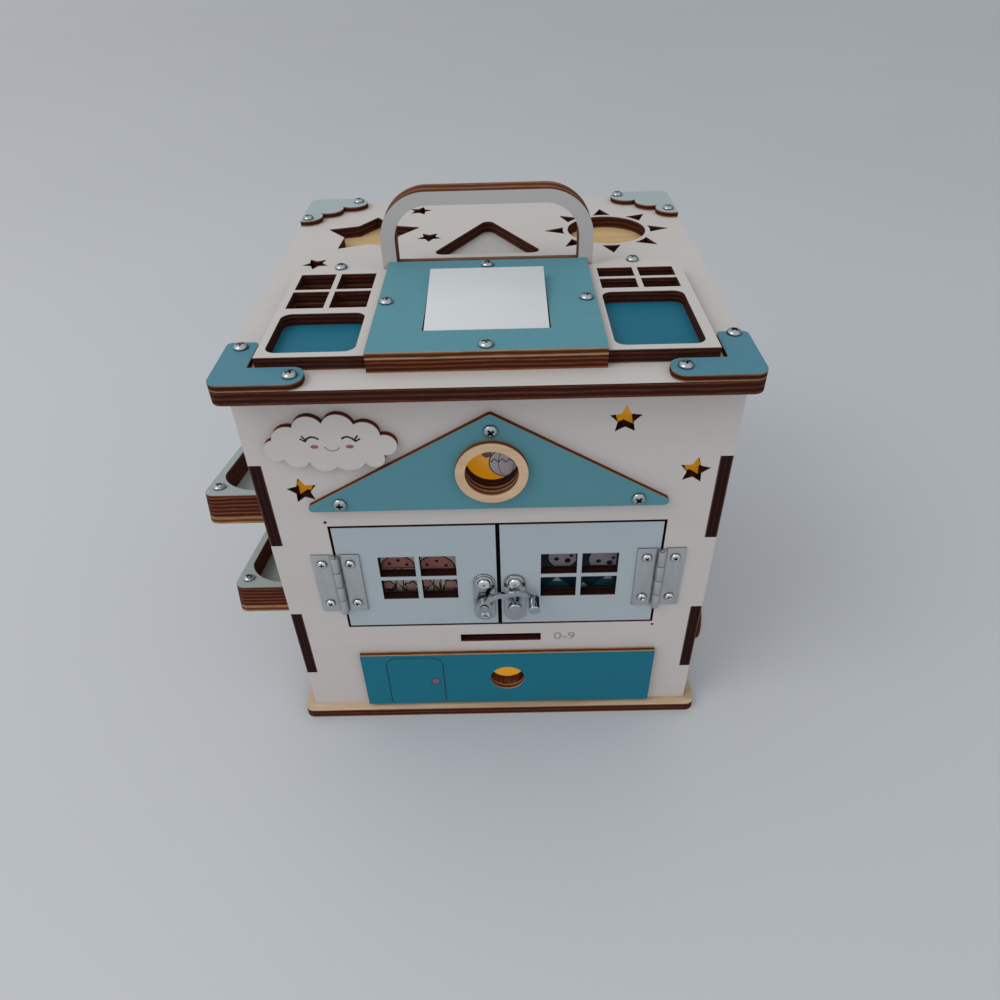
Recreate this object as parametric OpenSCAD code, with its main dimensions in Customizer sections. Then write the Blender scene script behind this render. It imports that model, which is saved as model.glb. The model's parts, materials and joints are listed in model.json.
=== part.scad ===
// Activity cube for a toddler: a wooden play house whose walls, lid and side
// carry doors with a latch, a drawer, a rocker switch, trays and cut-out shapes.
// X runs to the right, Y to the back, Z up; the origin is the centre of the
// base plate's bottom face. All sizes are in millimetres.

/* [Shell] */
// Width over the outer faces of the side walls
house_w = 220; // [216:1:250]
// Depth over the outer faces of the front and back walls
house_d = 220; // [216:1:250]
// Height of the walls, between the base plate and the lid
wall_h = 216; // [213:1:240]
// Plywood of the walls and the doors
ply_t = 6; // [5:0.5:8]
// Plywood of the base plate
base_t = 6; // [4:0.5:10]
// Plywood of the lid
lid_t = 6.4; // [5:0.2:9]
// Thin plywood of the overlays, brackets and trays
sheet_t = 3.1; // [2.8:0.1:3.6]
// How far the base plate stands out from the walls
base_over = 5.6; // [2:0.2:10]
// Corner radius of the base plate
base_r = 5; // [1:0.5:10]
// How far the lid stands out from the side walls
lid_side_over = 3.4; // [1:0.2:6]
// How far the lid stands out from the front wall
lid_front_over = 12.9; // [10:0.1:18]
// How far the lid stands out from the back wall
lid_back_over = 3; // [1:0.2:6]
// Corner radius of the lid
lid_r = 5.5; // [1:0.5:6]
// Height of a finger where the side walls show in the front and back walls
finger_h = 49.2; // [35:0.2:55]
// From the base plate to the first finger
finger_z = 28.8; // [15:0.2:40]

/* [Doors] */
// Width of the doorway
doorway_w = 164.8; // [150:0.2:172]
// Height of the doorway
doorway_h = 72.5; // [66:0.5:76]
// Doorway's centre, to the right of the house's centre
doorway_x = 2.2; // [-2:0.1:4]
// From the base plate to the doorway
doorway_z = 66.9; // [64:0.1:69]
// Saw cut between a door and the wall
door_kerf = 1.3; // [0.6:0.1:1.6]
// Gap between the two doors
door_gap = 2.1; // [1:0.1:3]
// Width of one pane in a door
pane_w = 18.4; // [12:0.2:20]
// Height of one pane in a door
pane_h = 13.8; // [8:0.2:16]
// Glazing bar between two panes
pane_bar = 2.4; // [2:0.1:4]

/* [Hinges] */
// Height of a hinge
hinge_h = 40; // [32:1:50]
// Width of one leaf, from the pin's centre
leaf_w = 12; // [10.5:0.5:14]
// Thickness of a leaf
leaf_t = 1; // [0.8:0.1:1.4]
// Radius of the knuckles
barrel_r = 2.1; // [1.9:0.1:3]
// Radius of the hinge pin
hinge_pin_r = 1; // [0.8:0.1:1.2]
// Gap between a knuckle and the other leaf
knuckle_gap = 0.4; // [0.2:0.1:0.8]
// Distance of the leaf's screws from the pin's centre
leaf_screw_x = 7.1; // [6.6:0.1:7.8]
// Distance between the two screws of a leaf
leaf_screw_gap = 28; // [22:1:30]

/* [Latch] */
// Width of the latch's two plates
latch_plate_w = 11.2; // [9:0.2:12]
// Height of the latch's two plates
latch_plate_h = 33.5; // [30:0.5:38]
// Thickness of the latch's two plates
latch_plate_t = 1; // [0.8:0.1:1.5]
// Width of the arched arm
arm_w = 2.9; // [2:0.1:5]
// Thickness of the arched arm
arm_t = 1.8; // [1.4:0.2:4]
// Radius of the pin that the arm swings on
pivot_r = 1.2; // [0.8:0.1:1.8]
// Radius of the arm's round end on the pivot
hub_r = 4.1; // [3:0.1:4.6]
// Radius of the knob at the arm's free end
knob_r = 2.9; // [2:0.1:4]
// Radius of the stud's mushroom head
stud_head_r = 3.6; // [2.8:0.1:4.2]
// Radius of the large dome screws
dome_r = 4.4; // [3.5:0.1:4.8]

/* [Drawer] */
// Width of the drawer's front
drawer_front_w = 164.8; // [140:0.2:180]
// Height of the drawer's front
drawer_front_h = 43.5; // [36:0.5:46]
// Drawer's centre, to the right of the house's centre
drawer_x = 5.4; // [0:0.2:8]
// From the base plate to the drawer's front
drawer_front_z = 2.5; // [1:0.1:4]
// How far the front overlaps the wall on every side
drawer_lap = 5; // [3:0.5:8]
// Depth of the drawer's box
drawer_d = 150; // [100:1:180]
// Running clearance round the drawer's box
drawer_fit = 0.5; // [0.3:0.1:1]
// Radius of the finger hole
finger_hole_r = 9.8; // [7:0.1:12]
// Width of the posting slot above the drawer
post_w = 44.2; // [30:0.2:60]
// Height of the posting slot
post_h = 5.8; // [4.5:0.1:7]

/* [Front] */
// Width of the pediment's straight lower edge
pediment_w = 165.1; // [140:0.1:180]
// Rise of the pediment's peak
pediment_h = 47.8; // [42:0.2:50]
// Radius of the round window
window_r = 12.2; // [8:0.1:13]
// Width of the ring round the window
window_rim = 4.3; // [3:0.1:5]
// Radius of the small stars' points
small_star_r = 7.5; // [5:0.1:8]

/* [Switch] */
// Width of the block under the switch
block_w = 100; // [92:1:108]
// Depth of the block under the switch
block_d = 97.1; // [90:0.1:100]
// Side of the square rocker key
key_w = 53.9; // [50:0.1:56]
// Gap between the key and the plate
key_gap = 0.7; // [0.2:0.1:1]
// Tilt of the key when one side is pressed
key_tilt = 6.5; // [5:0.5:7]

/* [Facades] */
// Width of a facade
facade_w = 47; // [44:0.5:50]
// Width of the frame round the panes and the tray
facade_rim = 4; // [3:0.1:5]
// Glazing bars of a facade
facade_bar = 2.6; // [2:0.1:4]
// Length of the left facade's tray
left_tray_l = 37.5; // [30:0.5:42]
// Length of the right facade's tray
right_tray_l = 53.6; // [45:0.1:57]
// Corner radius of the trays in the lid
tray_r = 5; // [3:0.5:7]
// Painted sheet on the floor of the trays
liner_t = 0.6; // [0.4:0.1:1]

/* [Handle] */
// Width over the handle
handle_w = 106.4; // [100:0.2:116]
// Height of the handle above the lid
handle_h = 43.2; // [35:0.1:60]
// Width of the handle's legs
handle_leg = 7.2; // [6:0.1:9]
// Height of the handle's top bar, which the hand holds
handle_grip = 6.4; // [5:0.1:9]
// Height of the bar that joins the legs on the lid
handle_foot = 6; // [3:0.1:8]
// Outer corner radius of the handle
handle_r = 24; // [16:0.5:26]

/* [Lid shapes] */
// Radius of the large star's points
star_r = 28.7; // [22:0.1:30]
// Radius of the sun's disc
sun_r = 22.5; // [18:0.1:24]
// Width of the triangle
triangle_w = 57.2; // [50:0.1:60]

/* [Side trays] */
// Width of a side tray, from the wall
side_tray_w = 30.7; // [25:0.1:40]
// Length of a side tray
side_tray_l = 110; // [90:1:130]
// Fall of a side tray, in degrees
side_tray_tilt = 12; // [6:0.5:15]
// Width of a side tray's outer rim
side_tray_rim = 3.8; // [3:0.1:6]
// Width of a side tray's front and back rim
side_tray_end = 5; // [4:0.5:8]

/* [Dial] */
// Radius of the dial on the right wall
dial_r = 15.5; // [10:0.5:16]
// Radius of the dial's axle
axle_r = 3; // [2:0.5:4]

/* [Screws] */
// Radius of the pan heads on the overlays
head_r = 3.25; // [2.6:0.05:3.4]
// Height of the pan heads on the overlays
head_h = 2.2; // [1.6:0.1:3]
// Radius of the shanks
shank_r = 1.5; // [1.2:0.1:1.8]

/* [Hidden] */
$fn = 64;
e = 0.01;                              // overshoot of a cut
fit = 0.1;                             // clearance round a shank or a liner
run = 0.05;                            // radial clearance of a turning pin
air = 0.2;                             // gap between faces that move past each other

half_w = house_w / 2;
front = -house_d / 2;
back = house_d / 2;
wall_z = base_t;
wall_top = wall_z + wall_h;
lid_top = wall_top + lid_t;
lid_x = half_w + lid_side_over;
lid_front = front - lid_front_over;
lid_back = back + lid_back_over;

door_t = ply_t - air;
door_z0 = wall_z + doorway_z;
door_cz = door_z0 + doorway_h / 2;
door_h = doorway_h - 2 * door_kerf;
door_w = (doorway_w - 2 * door_kerf - door_gap) / 2;
hinge_x = doorway_w / 2 - door_kerf / 2;      // pin to the doorway's centre
hinge_y = front - barrel_r - fit;
hinge_z = door_cz - 2.15;
knuckle_h = hinge_h / 4;

latch_z = door_z0 + 21.5;                     // centre of the left plate
latch_x = doorway_x - 7.8;                    // left plate and pivot
strike_x = doorway_x + 8.1;                   // right plate and stud
pivot_z = latch_z - 2.1;
stud_z = latch_z - 1;
stand_off = latch_plate_t + 3.2;              // from the door to the arm's back
arm_end = [strike_x + 9.8 - latch_x, 4.3];    // pivot to the knob
arm_rise = 6.7;                               // of the arch over the line between them

drawer_open_w = drawer_front_w - 2 * drawer_lap;
drawer_open_h = drawer_front_h - 2 * drawer_lap;
drawer_front_z0 = wall_z + drawer_front_z;
drawer_open_z = drawer_front_z0 + drawer_lap;
box_w = drawer_open_w - 2 * drawer_fit;
box_h = drawer_open_h - 2 * drawer_fit;
box_z = drawer_open_z + drawer_fit;
finger_hole_z = drawer_front_z0 + drawer_front_h / 2 + 0.3;
post_z = (drawer_front_z0 + drawer_front_h + door_z0) / 2 - 0.3;

pediment_z = door_z0 + doorway_h + 13.6;      // centre of its lower corners
pediment_x = doorway_x - 3;
window_x = doorway_x - 1.6;
window_z = pediment_z + 20.5;
panel_top = wall_top - 4;                     // of the amber sheet

block_y = front + 0.2 + block_d / 2;
block_back = block_y + block_d / 2;
block_h = 3 * sheet_t;
key_y = block_y - 2;
key_z = lid_top + block_h - 0.5;              // axis that the key rocks on
key_up = 3;                                   // key above its axis
key_rise = key_w / 2 * sin(key_tilt);
flange_t = 1.2;
skirt = key_z - lid_top - flange_t - key_rise - 0.5;

facade_x = block_w / 2 + facade_w / 2;
facade_front = front + 4;
facade_eave = block_back - 2.2;
facade_peak = facade_eave + 10;
PANE_SHIFT = [-1.2, 0];                       // of the panes from the facade's middle, left and right
TRAY_SHIFT = [-0.9, -0.5];                    // of the trays
TRAY_TO_PANES = [5.7, 4.6];                   // from a tray to the panes behind it
facade_pane_w = (facade_w - 2 * facade_rim - facade_bar) / 2 - 0.7;

handle_y = block_back + fit;
handle_t = 4 * sheet_t;
handle_inner_r = handle_r - (handle_leg + handle_grip) / 2;

star_at = [-68.2, back - 54];
sun_at = [68.4, back - 56.5];
sun_ray = 13.8;                               // from the disc to a ray's tip
sun_gap = 2.7;                                // from the disc to a ray's base
triangle_at = [-0.7, back - 89.7];            // middle of its base
triangle_h = triangle_w * 0.905;
LID_STARS = [[-93.3, back - 98.7, -94], [-43, back - 15, 78], [-34.3, back - 62.1, -90]];   // x, y, turn
WALL_STARS = [[-87.8, 45.6, 8], [59.6, 81, 0], [93.4, 52.6, -8]];   // x, above the doorway's middle, turn

tray_stack = 5 * sheet_t;
tray_front = front + 10;
TRAY_TOPS = [door_cz + 48.9, door_cz - 14.2];
dial_at = [front + 19, wall_z + 54];

// screws: [x, y] on the lid, [x, z] on the front wall
BRACKET_SCREWS = [[-lid_x + 7.1, lid_front + 32.2], [-lid_x + 33.5, lid_front + 6.9],
                  [lid_x - 6.4, lid_front + 35.2], [lid_x - 32.6, lid_front + 7.6],
                  [-lid_x + 4.2, lid_back - 37.2], [-lid_x + 30.7, lid_back - 7.3],
                  [lid_x - 4.9, lid_back - 34.8], [lid_x - 32.1, lid_back - 6.4]];
FACADE_SCREWS = [[-facade_x - 1.5, facade_eave + 3.9], [facade_x + 0.5, facade_eave + 5.4]];
BLOCK_SCREWS = [[0, block_y + block_d / 2 - 7], [0, block_y - block_d / 2 + 4.5],
                [-block_w / 2 + 4, block_y], [block_w / 2 - 4.5, block_y]];
peak_screw = 6.1;                             // from the pediment's peak down to its screw
PEDIMENT_SCREWS = [[pediment_x - 69.3 / 82.5 * (pediment_w / 2) - 0.7, pediment_z + 2.5],
                   [pediment_x + 69.3 / 82.5 * (pediment_w / 2), pediment_z + 2.3],
                   [window_x + 0.1, pediment_z + pediment_h - peak_screw]];

WHITE = [0.90, 0.88, 0.87];
TEAL = [0.37, 0.56, 0.60];
PALE = [0.68, 0.77, 0.80];
MINT = [0.58, 0.68, 0.68];
DEEP = [0.13, 0.40, 0.49];
BIRCH = [0.85, 0.74, 0.55];
AMBER = [0.85, 0.60, 0.12];
ZINC = [0.72, 0.74, 0.76];

// A plate with rounded corners, centred
module rounded_square(size, r) {
  square([size.x - 2 * r, size.y], center = true);
  square([size.x, size.y - 2 * r], center = true);
  for (sx = [-1, 1], sy = [-1, 1])
    translate([sx * (size.x / 2 - r), sy * (size.y / 2 - r)]) circle(r);
}

// A polygon grown by r, with round corners. The circles stay a hair inside the edges' bars.
module rounded_outline(points, r) {
  polygon(points);
  for (i = [0 : len(points) - 1]) {
    a = points[i];
    b = points[(i + 1) % len(points)];
    translate(a) circle(r - e);
    translate(a) rotate(atan2(b.y - a.y, b.x - a.x))
      translate([0, -r]) square([norm(b - a), 2 * r]);
  }
}

// Five-pointed star with one point along +X
function star_points(r, inner) = [for (i = [0 : 9]) (i % 2 == 0 ? r : r * inner) * [cos(36 * i), sin(36 * i)]];
module small_star() {
  polygon(star_points(small_star_r, 0.49));
}
module large_star() {
  tip_r = 0.8;
  rounded_outline(star_points(star_r - 1.85 * tip_r, 0.58), tip_r);
}

// Four panes, two by two, centred
module panes(w, h, bar) {
  for (sx = [-1, 1], sy = [-1, 1])
    translate([sx * (w + bar) / 2, sy * (h + bar) / 2]) square([w, h], center = true);
}

// Extrudes an outline drawn as seen from the front (x, z) from the wall's face, y = from, backwards
module from_front(from, t) {
  translate([0, from + t, 0]) rotate([90, 0, 0]) linear_extrude(t) children();
}

// Places children at each point of a face: on the lid, or on the front wall with the head outwards
module on_lid(points, z) {
  for (p = points) translate([p.x, p.y, z]) children();
}
module on_front(points, y) {
  for (p = points) translate([p.x, y, p.y]) rotate([90, 0, 0]) children();
}

// Screw: a pan head above z = 0 and a shank below it
module pan_screw(r = head_r, h = head_h, shank = shank_r, length = 8) {
  edge = h * 0.35;
  cap_r = (pow(r, 2) + pow(h - edge, 2)) / (2 * (h - edge));
  cylinder(r = r, h = edge);
  intersection() {
    translate([0, 0, edge]) cylinder(r = r, h = h);
    translate([0, 0, h - cap_r]) sphere(cap_r);
  }
  translate([0, 0, -length]) cylinder(r = shank, h = length);
}
module screw_hole(shank = shank_r, length = 8) {
  translate([0, 0, -length - fit]) cylinder(r = shank + fit, h = length + fit + 1);
}

// Slots in the front and back walls where the side walls' fingers come through
module finger_rows() {
  for (i = [0, 1]) translate([0, 0, wall_z + finger_z + 2 * i * finger_h]) children();
}

// Shell

module base_plate() {
  color(BIRCH) linear_extrude(base_t)
    rounded_square([house_w + 2 * base_over, house_d + 2 * base_over], base_r);
}

module cross_wall() {
  difference() {
    translate([-half_w, 0, wall_z]) cube([house_w, ply_t, wall_h]);
    finger_rows() for (sx = [-1, 1]) translate([sx * half_w, ply_t / 2, finger_h / 2])
      cube([2 * ply_t, ply_t + 2 * e, finger_h], center = true);
  }
}

module side_wall() {
  translate([0, front + ply_t, wall_z]) cube([ply_t, house_d - 2 * ply_t, wall_h]);
  finger_rows() translate([0, front, 0]) cube([ply_t, house_d, finger_h]);
}

module front_wall() {
  color(WHITE) difference() {
    translate([0, front, 0]) cross_wall();
    from_front(front - e, ply_t + 2 * e) {
      translate([doorway_x, door_cz]) square([doorway_w, doorway_h], center = true);
      translate([drawer_x, drawer_open_z + drawer_open_h / 2])
        square([drawer_open_w, drawer_open_h], center = true);
      translate([doorway_x, post_z]) square([post_w, post_h], center = true);
      translate([window_x, window_z]) circle(window_r);
      for (s = WALL_STARS) translate([s.x, door_cz + 12.8 + s.y]) rotate(90 + s.z) small_star();
    }
    on_front(PEDIMENT_SCREWS, front - sheet_t) screw_hole();
    on_front(wall_leaf_points(), front - leaf_t) leaf_screw_hole();
  }
}

module back_wall() {
  color(WHITE) translate([0, back - ply_t, 0]) cross_wall();
}

module left_wall() {
  color(WHITE) translate([-half_w, 0, 0]) side_wall();
}

module right_wall() {
  color(WHITE) difference() {
    translate([half_w - ply_t, 0, 0]) side_wall();
    translate([half_w - ply_t - e, dial_at.x, dial_at.y]) rotate([0, 90, 0])
      cylinder(r = axle_r, h = ply_t + 2 * e);
  }
}

module lid_outline() {
  translate([0, (lid_front + lid_back) / 2])
    rounded_square([2 * lid_x, lid_back - lid_front], lid_r);
}

module lid_board() {
  color(WHITE) difference() {
    translate([0, 0, wall_top]) linear_extrude(lid_t) difference() {
      lid_outline();
      translate(star_at) rotate(90) large_star();
      translate(sun_at) circle(sun_r);
      translate(sun_at) sun_rays();
      translate(triangle_at) triangle();
      for (s = LID_STARS) translate([s.x, s.y]) rotate(s.z) small_star();
      facade_panes(-1);
      facade_panes(1);
      translate([0, key_y]) square(body_w + 2 * air, center = true);
      for (sx = [-1, 1]) translate([sx * (handle_w - handle_leg) / 2, handle_y + handle_t / 2])
        square([handle_leg, handle_t], center = true);
    }
    on_lid(BRACKET_SCREWS, lid_top + sheet_t) screw_hole();
    on_lid(FACADE_SCREWS, lid_top + 2 * sheet_t) screw_hole(length = 2 * sheet_t + 4);
    on_lid(BLOCK_SCREWS, lid_top + block_h) screw_hole(length = block_h + 4);
  }
}

// Eight rays round the sun's disc, their bases hollowed along it
module sun_rays() {
  difference() {
    for (i = [0 : 7]) rotate(45 * i)
      polygon([[sun_r, -6.2], [sun_r + sun_ray, 0], [sun_r, 6.2]]);
    circle(sun_r + sun_gap);
  }
}

module triangle() {
  r = 4;
  rounded_outline([[-triangle_w / 2 + r, r], [triangle_w / 2 - r, r], [0, triangle_h - r]], r);
}

// Floor sheets below the lid's shapes, from x0 to x1
module shape_floor(x0, x1) {
  y0 = triangle_at.y - 18;
  translate([x0, y0, wall_top - sheet_t]) cube([x1 - x0, back - ply_t - fit - y0, sheet_t]);
}
floor_edge = triangle_w / 2 + 1.5;
module star_floor() {
  color(BIRCH) shape_floor(-half_w + ply_t + fit, triangle_at.x - floor_edge - fit);
}
module triangle_floor() {
  color(WHITE) shape_floor(triangle_at.x - floor_edge, triangle_at.x + floor_edge);
}
module sun_floor() {
  color(BIRCH) shape_floor(triangle_at.x + floor_edge + fit, half_w - ply_t - fit);
}

// Lid's overlays

// L-shaped bracket over a front corner of the lid; side is -1 on the left
module front_bracket(side) {
  side_leg = [13.8, 37.4];
  front_leg = [38.8, 14.4];
  color(TEAL) difference() {
    translate([0, 0, lid_top]) linear_extrude(sheet_t) intersection() {
      lid_outline();
      translate([side * lid_x, lid_front]) scale_x(-side) {
        translate(side_leg / 2) rounded_square(side_leg, 2.5);
        translate(front_leg / 2) rounded_square(front_leg, 6);
        square(10);
      }
    }
    on_lid(BRACKET_SCREWS, lid_top + sheet_t) screw_hole();
  }
}
module scale_x(side) {
  if (side < 0) mirror([1, 0]) children();
  else children();
}
module front_left_bracket() { front_bracket(-1); }
module front_right_bracket() { front_bracket(1); }

// Cloud-shaped bracket over a back corner: three lobes, [from the side, from the back, radius]
CLOUD_CORNER = [[3.2, 33, 8.8], [13.9, 19.4, 8.7], [27.4, 8.6, 9]];
module back_bracket(side) {
  color(PALE) difference() {
    translate([0, 0, lid_top]) linear_extrude(sheet_t) intersection() {
      lid_outline();
      translate([side * lid_x, lid_back]) scale_x(-side) {
        polygon(concat([[0, 0], [0, -CLOUD_CORNER[0].y]],
                       [for (l = CLOUD_CORNER) [l.x, -l.y]], [[CLOUD_CORNER[2].x, 0]]));
        for (l = CLOUD_CORNER) translate([l.x, -l.y]) circle(l.z);
      }
    }
    on_lid(BRACKET_SCREWS, lid_top + sheet_t) screw_hole();
  }
}
module back_left_bracket() { back_bracket(-1); }
module back_right_bracket() { back_bracket(1); }

// Facades: side is -1 on the left; the tray is in front and the panes behind it
function tray_length(side) = side < 0 ? left_tray_l : right_tray_l;
function tray_start() = facade_front + facade_rim;
function panes_start(side) = tray_start() + tray_length(side) + TRAY_TO_PANES[side < 0 ? 0 : 1];
function panes_depth(side) = facade_eave - 4.2 - panes_start(side);
module facade_panes(side) {
  translate([side * facade_x + PANE_SHIFT[side < 0 ? 0 : 1], panes_start(side) + panes_depth(side) / 2])
    panes(facade_pane_w, (panes_depth(side) - facade_bar) / 2, facade_bar);
}
module facade_tray(side, gap = 0) {
  size = [facade_w - 2 * facade_rim - 0.6, tray_length(side)];
  translate([side * facade_x + TRAY_SHIFT[side < 0 ? 0 : 1], tray_start() + size.y / 2])
    rounded_square(size - 2 * gap * [1, 1], tray_r - gap);
}
module facade(side) {
  color(WHITE) difference() {
    translate([0, 0, lid_top]) linear_extrude(2 * sheet_t) difference() {
      translate([side * facade_x, 0])
        polygon([[-facade_w / 2, facade_front], [facade_w / 2, facade_front],
                 [facade_w / 2, facade_eave], [0, facade_peak], [-facade_w / 2, facade_eave]]);
      facade_panes(side);
      facade_tray(side);
    }
    on_lid(FACADE_SCREWS, lid_top + 2 * sheet_t) screw_hole(length = 2 * sheet_t + 4);
  }
}
module left_facade() { facade(-1); }
module right_facade() { facade(1); }

module left_tray_liner() { color(DEEP) tray_liner(-1); }
module right_tray_liner() { color(DEEP) tray_liner(1); }
module tray_liner(side) {
  translate([0, 0, lid_top]) linear_extrude(liner_t) facade_tray(side, fit);
}

// Switch block: spacer sheets, plate, the switch's body and the rocking key
body_w = 46;
rocker_pin_r = 1.2;
module block_outline() {
  translate([0, block_y]) square([block_w, block_d], center = true);
}
module switch_spacer() {
  color(BIRCH) difference() {
    translate([0, 0, lid_top]) linear_extrude(2 * sheet_t) difference() {
      block_outline();
      translate([0, key_y]) square(key_w + 6, center = true);
    }
    on_lid(BLOCK_SCREWS, lid_top + block_h) screw_hole(length = block_h + 4);
  }
}
module switch_plate() {
  color(TEAL) difference() {
    translate([0, 0, lid_top + 2 * sheet_t]) linear_extrude(sheet_t) difference() {
      block_outline();
      translate([0, key_y]) square(key_w + 2 * key_gap, center = true);
    }
    on_lid(BLOCK_SCREWS, lid_top + block_h) screw_hole(length = block_h + 4);
  }
}
module switch_body() {
  neck = 2 * rocker_pin_r;
  color([0.8, 0.8, 0.8]) {
    translate([-body_w / 2, key_y - body_w / 2, wall_top - 14]) cube([body_w, body_w, 14 + lid_t]);
    translate([-key_w / 2 - 2, key_y - key_w / 2 - 2, lid_top]) cube([key_w + 4, key_w + 4, flange_t]);
    translate([-15, key_y - 4, lid_top]) cube([30, 8, key_z - lid_top - 1.6]);
    translate([-15, key_y - neck / 2, lid_top]) cube([30, neck, key_z - lid_top]);
    translate([-21, key_y, key_z]) rotate([0, 90, 0]) cylinder(r = rocker_pin_r, h = 42);
  }
}
module rocker_key() {
  shell = 1.5;
  low = key_w - 1.4;
  color([0.95, 0.95, 0.95]) translate([0, key_y, key_z]) rotate([key_tilt, 0, 0]) difference() {
    union() {
      difference() {
        union() {
          linear_extrude(key_up) square(key_w, center = true);
          translate([0, 0, -skirt]) linear_extrude(skirt + e) square(low, center = true);
        }
        translate([0, 0, -skirt - e]) linear_extrude(skirt + key_up - shell)
          square(low - 2 * shell, center = true);
      }
      for (sx = [-1, 1]) translate([sx * 18 - 2, -3, -3]) cube([4, 6, 3 + key_up - shell + e]);
    }
    translate([-22, 0, 0]) rotate([0, 90, 0]) cylinder(r = rocker_pin_r + run, h = 44);
  }
}

// Carrying handle: a closed frame that stands behind the block, its legs let into the lid
module arch(w, h, r) {
  intersection() {
    for (sx = [-1, 1]) translate([sx * (w / 2 - r), h - r]) circle(r);
    translate([-w / 2, 0]) square([w, h]);
  }
  translate([-w / 2 + r, 0]) square([w - 2 * r, h]);
  translate([-w / 2, 0]) square([w, h - r]);
}
module carry_handle() {
  inner_w = handle_w - 2 * handle_leg;
  color(WHITE) from_front(handle_y, handle_t) difference() {
    translate([0, wall_top]) arch(handle_w, lid_t + handle_h, handle_r);
    translate([0, lid_top + handle_foot])
      arch(inner_w, handle_h - handle_foot - handle_grip, handle_inner_r);
    translate([-inner_w / 2, wall_top - e]) square([inner_w, lid_t + e]);
  }
}

module lid_screws() {
  color(ZINC) {
    on_lid(BRACKET_SCREWS, lid_top + sheet_t) pan_screw();
    on_lid(FACADE_SCREWS, lid_top + 2 * sheet_t) pan_screw(length = 2 * sheet_t + 4);
    on_lid(BLOCK_SCREWS, lid_top + block_h) pan_screw(length = block_h + 4);
  }
}

// Front wall's overlays

module pediment() {
  r = 2;
  color(TEAL) difference() {
    from_front(front - sheet_t, sheet_t) difference() {
      translate([pediment_x, pediment_z])
        rounded_outline([[-pediment_w / 2 - 0.7, 0], [pediment_w / 2 - 0.7, 0],
                         [window_x - pediment_x, pediment_h]], r);
      translate([window_x, window_z]) circle(window_r);
    }
    on_front(PEDIMENT_SCREWS, front - sheet_t) screw_hole();
  }
}

module window_ring() {
  color(BIRCH) from_front(front - 2 * sheet_t, sheet_t) translate([window_x, window_z]) difference() {
    circle(window_r + window_rim);
    circle(window_r);
  }
}

// Cloud plaque: lobes [x, z, radius] round its centre
CLOUD = [[-24, -3.3, 5.6], [-17.5, 1.6, 7.5], [-8.1, 7.1, 7], [4.9, 7.5, 7.3], [15.8, 3.7, 7],
         [24.3, -1.5, 5.4], [18.8, -8.5, 4.8], [7.3, -5.9, 8.8], [-3.6, -7.9, 7], [-15.5, -6.7, 5.9]];
cloud_at = [doorway_x - 72.5, pediment_z + 36.9];
module cloud_plaque() {
  color(WHITE) from_front(front - sheet_t, sheet_t) translate(cloud_at) {
    translate([0.4, -0.5]) square([41, 13], center = true);
    for (l = CLOUD) translate([l.x, l.y]) circle(l.z);
  }
}

module front_screws() {
  color(ZINC) on_front(PEDIMENT_SCREWS, front - sheet_t) pan_screw();
}

// Sheets behind the front wall
module amber_sheet() {
  z0 = door_z0 + doorway_h + 7;
  color(AMBER) translate([-half_w + ply_t + fit, front + ply_t, z0])
    cube([house_w - 2 * ply_t - 2 * fit, sheet_t, panel_top - z0]);
}
frame_x = 5;                                  // how far the picture and its frame pass the doorway
frame_lap = 1.5;                              // how far the frame stands into the doorway, as the doors' stop
module picture_outline() {
  translate([doorway_x, door_cz]) square([doorway_w + 2 * frame_x, doorway_h + 2 * frame_x - 2], center = true);
}
module picture_spacer() {
  color(BIRCH) from_front(front + ply_t, sheet_t) difference() {
    picture_outline();
    translate([doorway_x, door_cz])
      square([doorway_w - 2 * frame_lap, doorway_h - 2 * frame_lap], center = true);
  }
}
module picture_panel() {
  color(BIRCH) from_front(front + ply_t + sheet_t, sheet_t) picture_outline();
}

// Hinges: in local axes the pin runs along Z through the origin, the wall's face is y = barrel_r + fit,
// and the leaf lies towards +X or -X. Knuckles are counted from the top.
module leaf(side, knuckles) {
  face = barrel_r + fit;
  difference() {
    union() {
      translate([side > 0 ? barrel_r + knuckle_gap : -leaf_w, face - leaf_t, -hinge_h / 2])
        cube([leaf_w - barrel_r - knuckle_gap, leaf_t, hinge_h]);
      for (k = knuckles) translate([0, 0, hinge_h / 2 - (k + 1) * knuckle_h + knuckle_gap / 2]) {
        cylinder(r = barrel_r, h = knuckle_h - knuckle_gap);
        translate([side > 0 ? 0.8 : -barrel_r - 1, face - leaf_t, 0])
          cube([barrel_r + 0.2, leaf_t - fit, knuckle_h - knuckle_gap]);
      }
    }
    cylinder(r = hinge_pin_r + run, h = hinge_h + 2, center = true);
    for (sz = [-1, 1]) translate([side * leaf_screw_x, face - leaf_t, sz * leaf_screw_gap / 2])
      rotate([90, 0, 0]) leaf_screw_hole();
  }
}
module pin() {
  cylinder(r = hinge_pin_r, h = hinge_h, center = true);
}
module at_hinge(side) {
  translate([doorway_x + side * hinge_x, hinge_y, hinge_z]) children();
}
leaf_shank = 1.1;
module leaf_screw() { pan_screw(r = 2.4, h = 1.4, shank = leaf_shank, length = leaf_t + ply_t - 2); }
module leaf_screw_hole() { screw_hole(shank = leaf_shank, length = leaf_t + ply_t - 2); }
function leaf_points(hinge, side) =
  [for (sz = [-1, 1]) [doorway_x + hinge * hinge_x + side * leaf_screw_x, hinge_z + sz * leaf_screw_gap / 2]];
function wall_leaf_points() = concat(leaf_points(-1, -1), leaf_points(1, 1));

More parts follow.
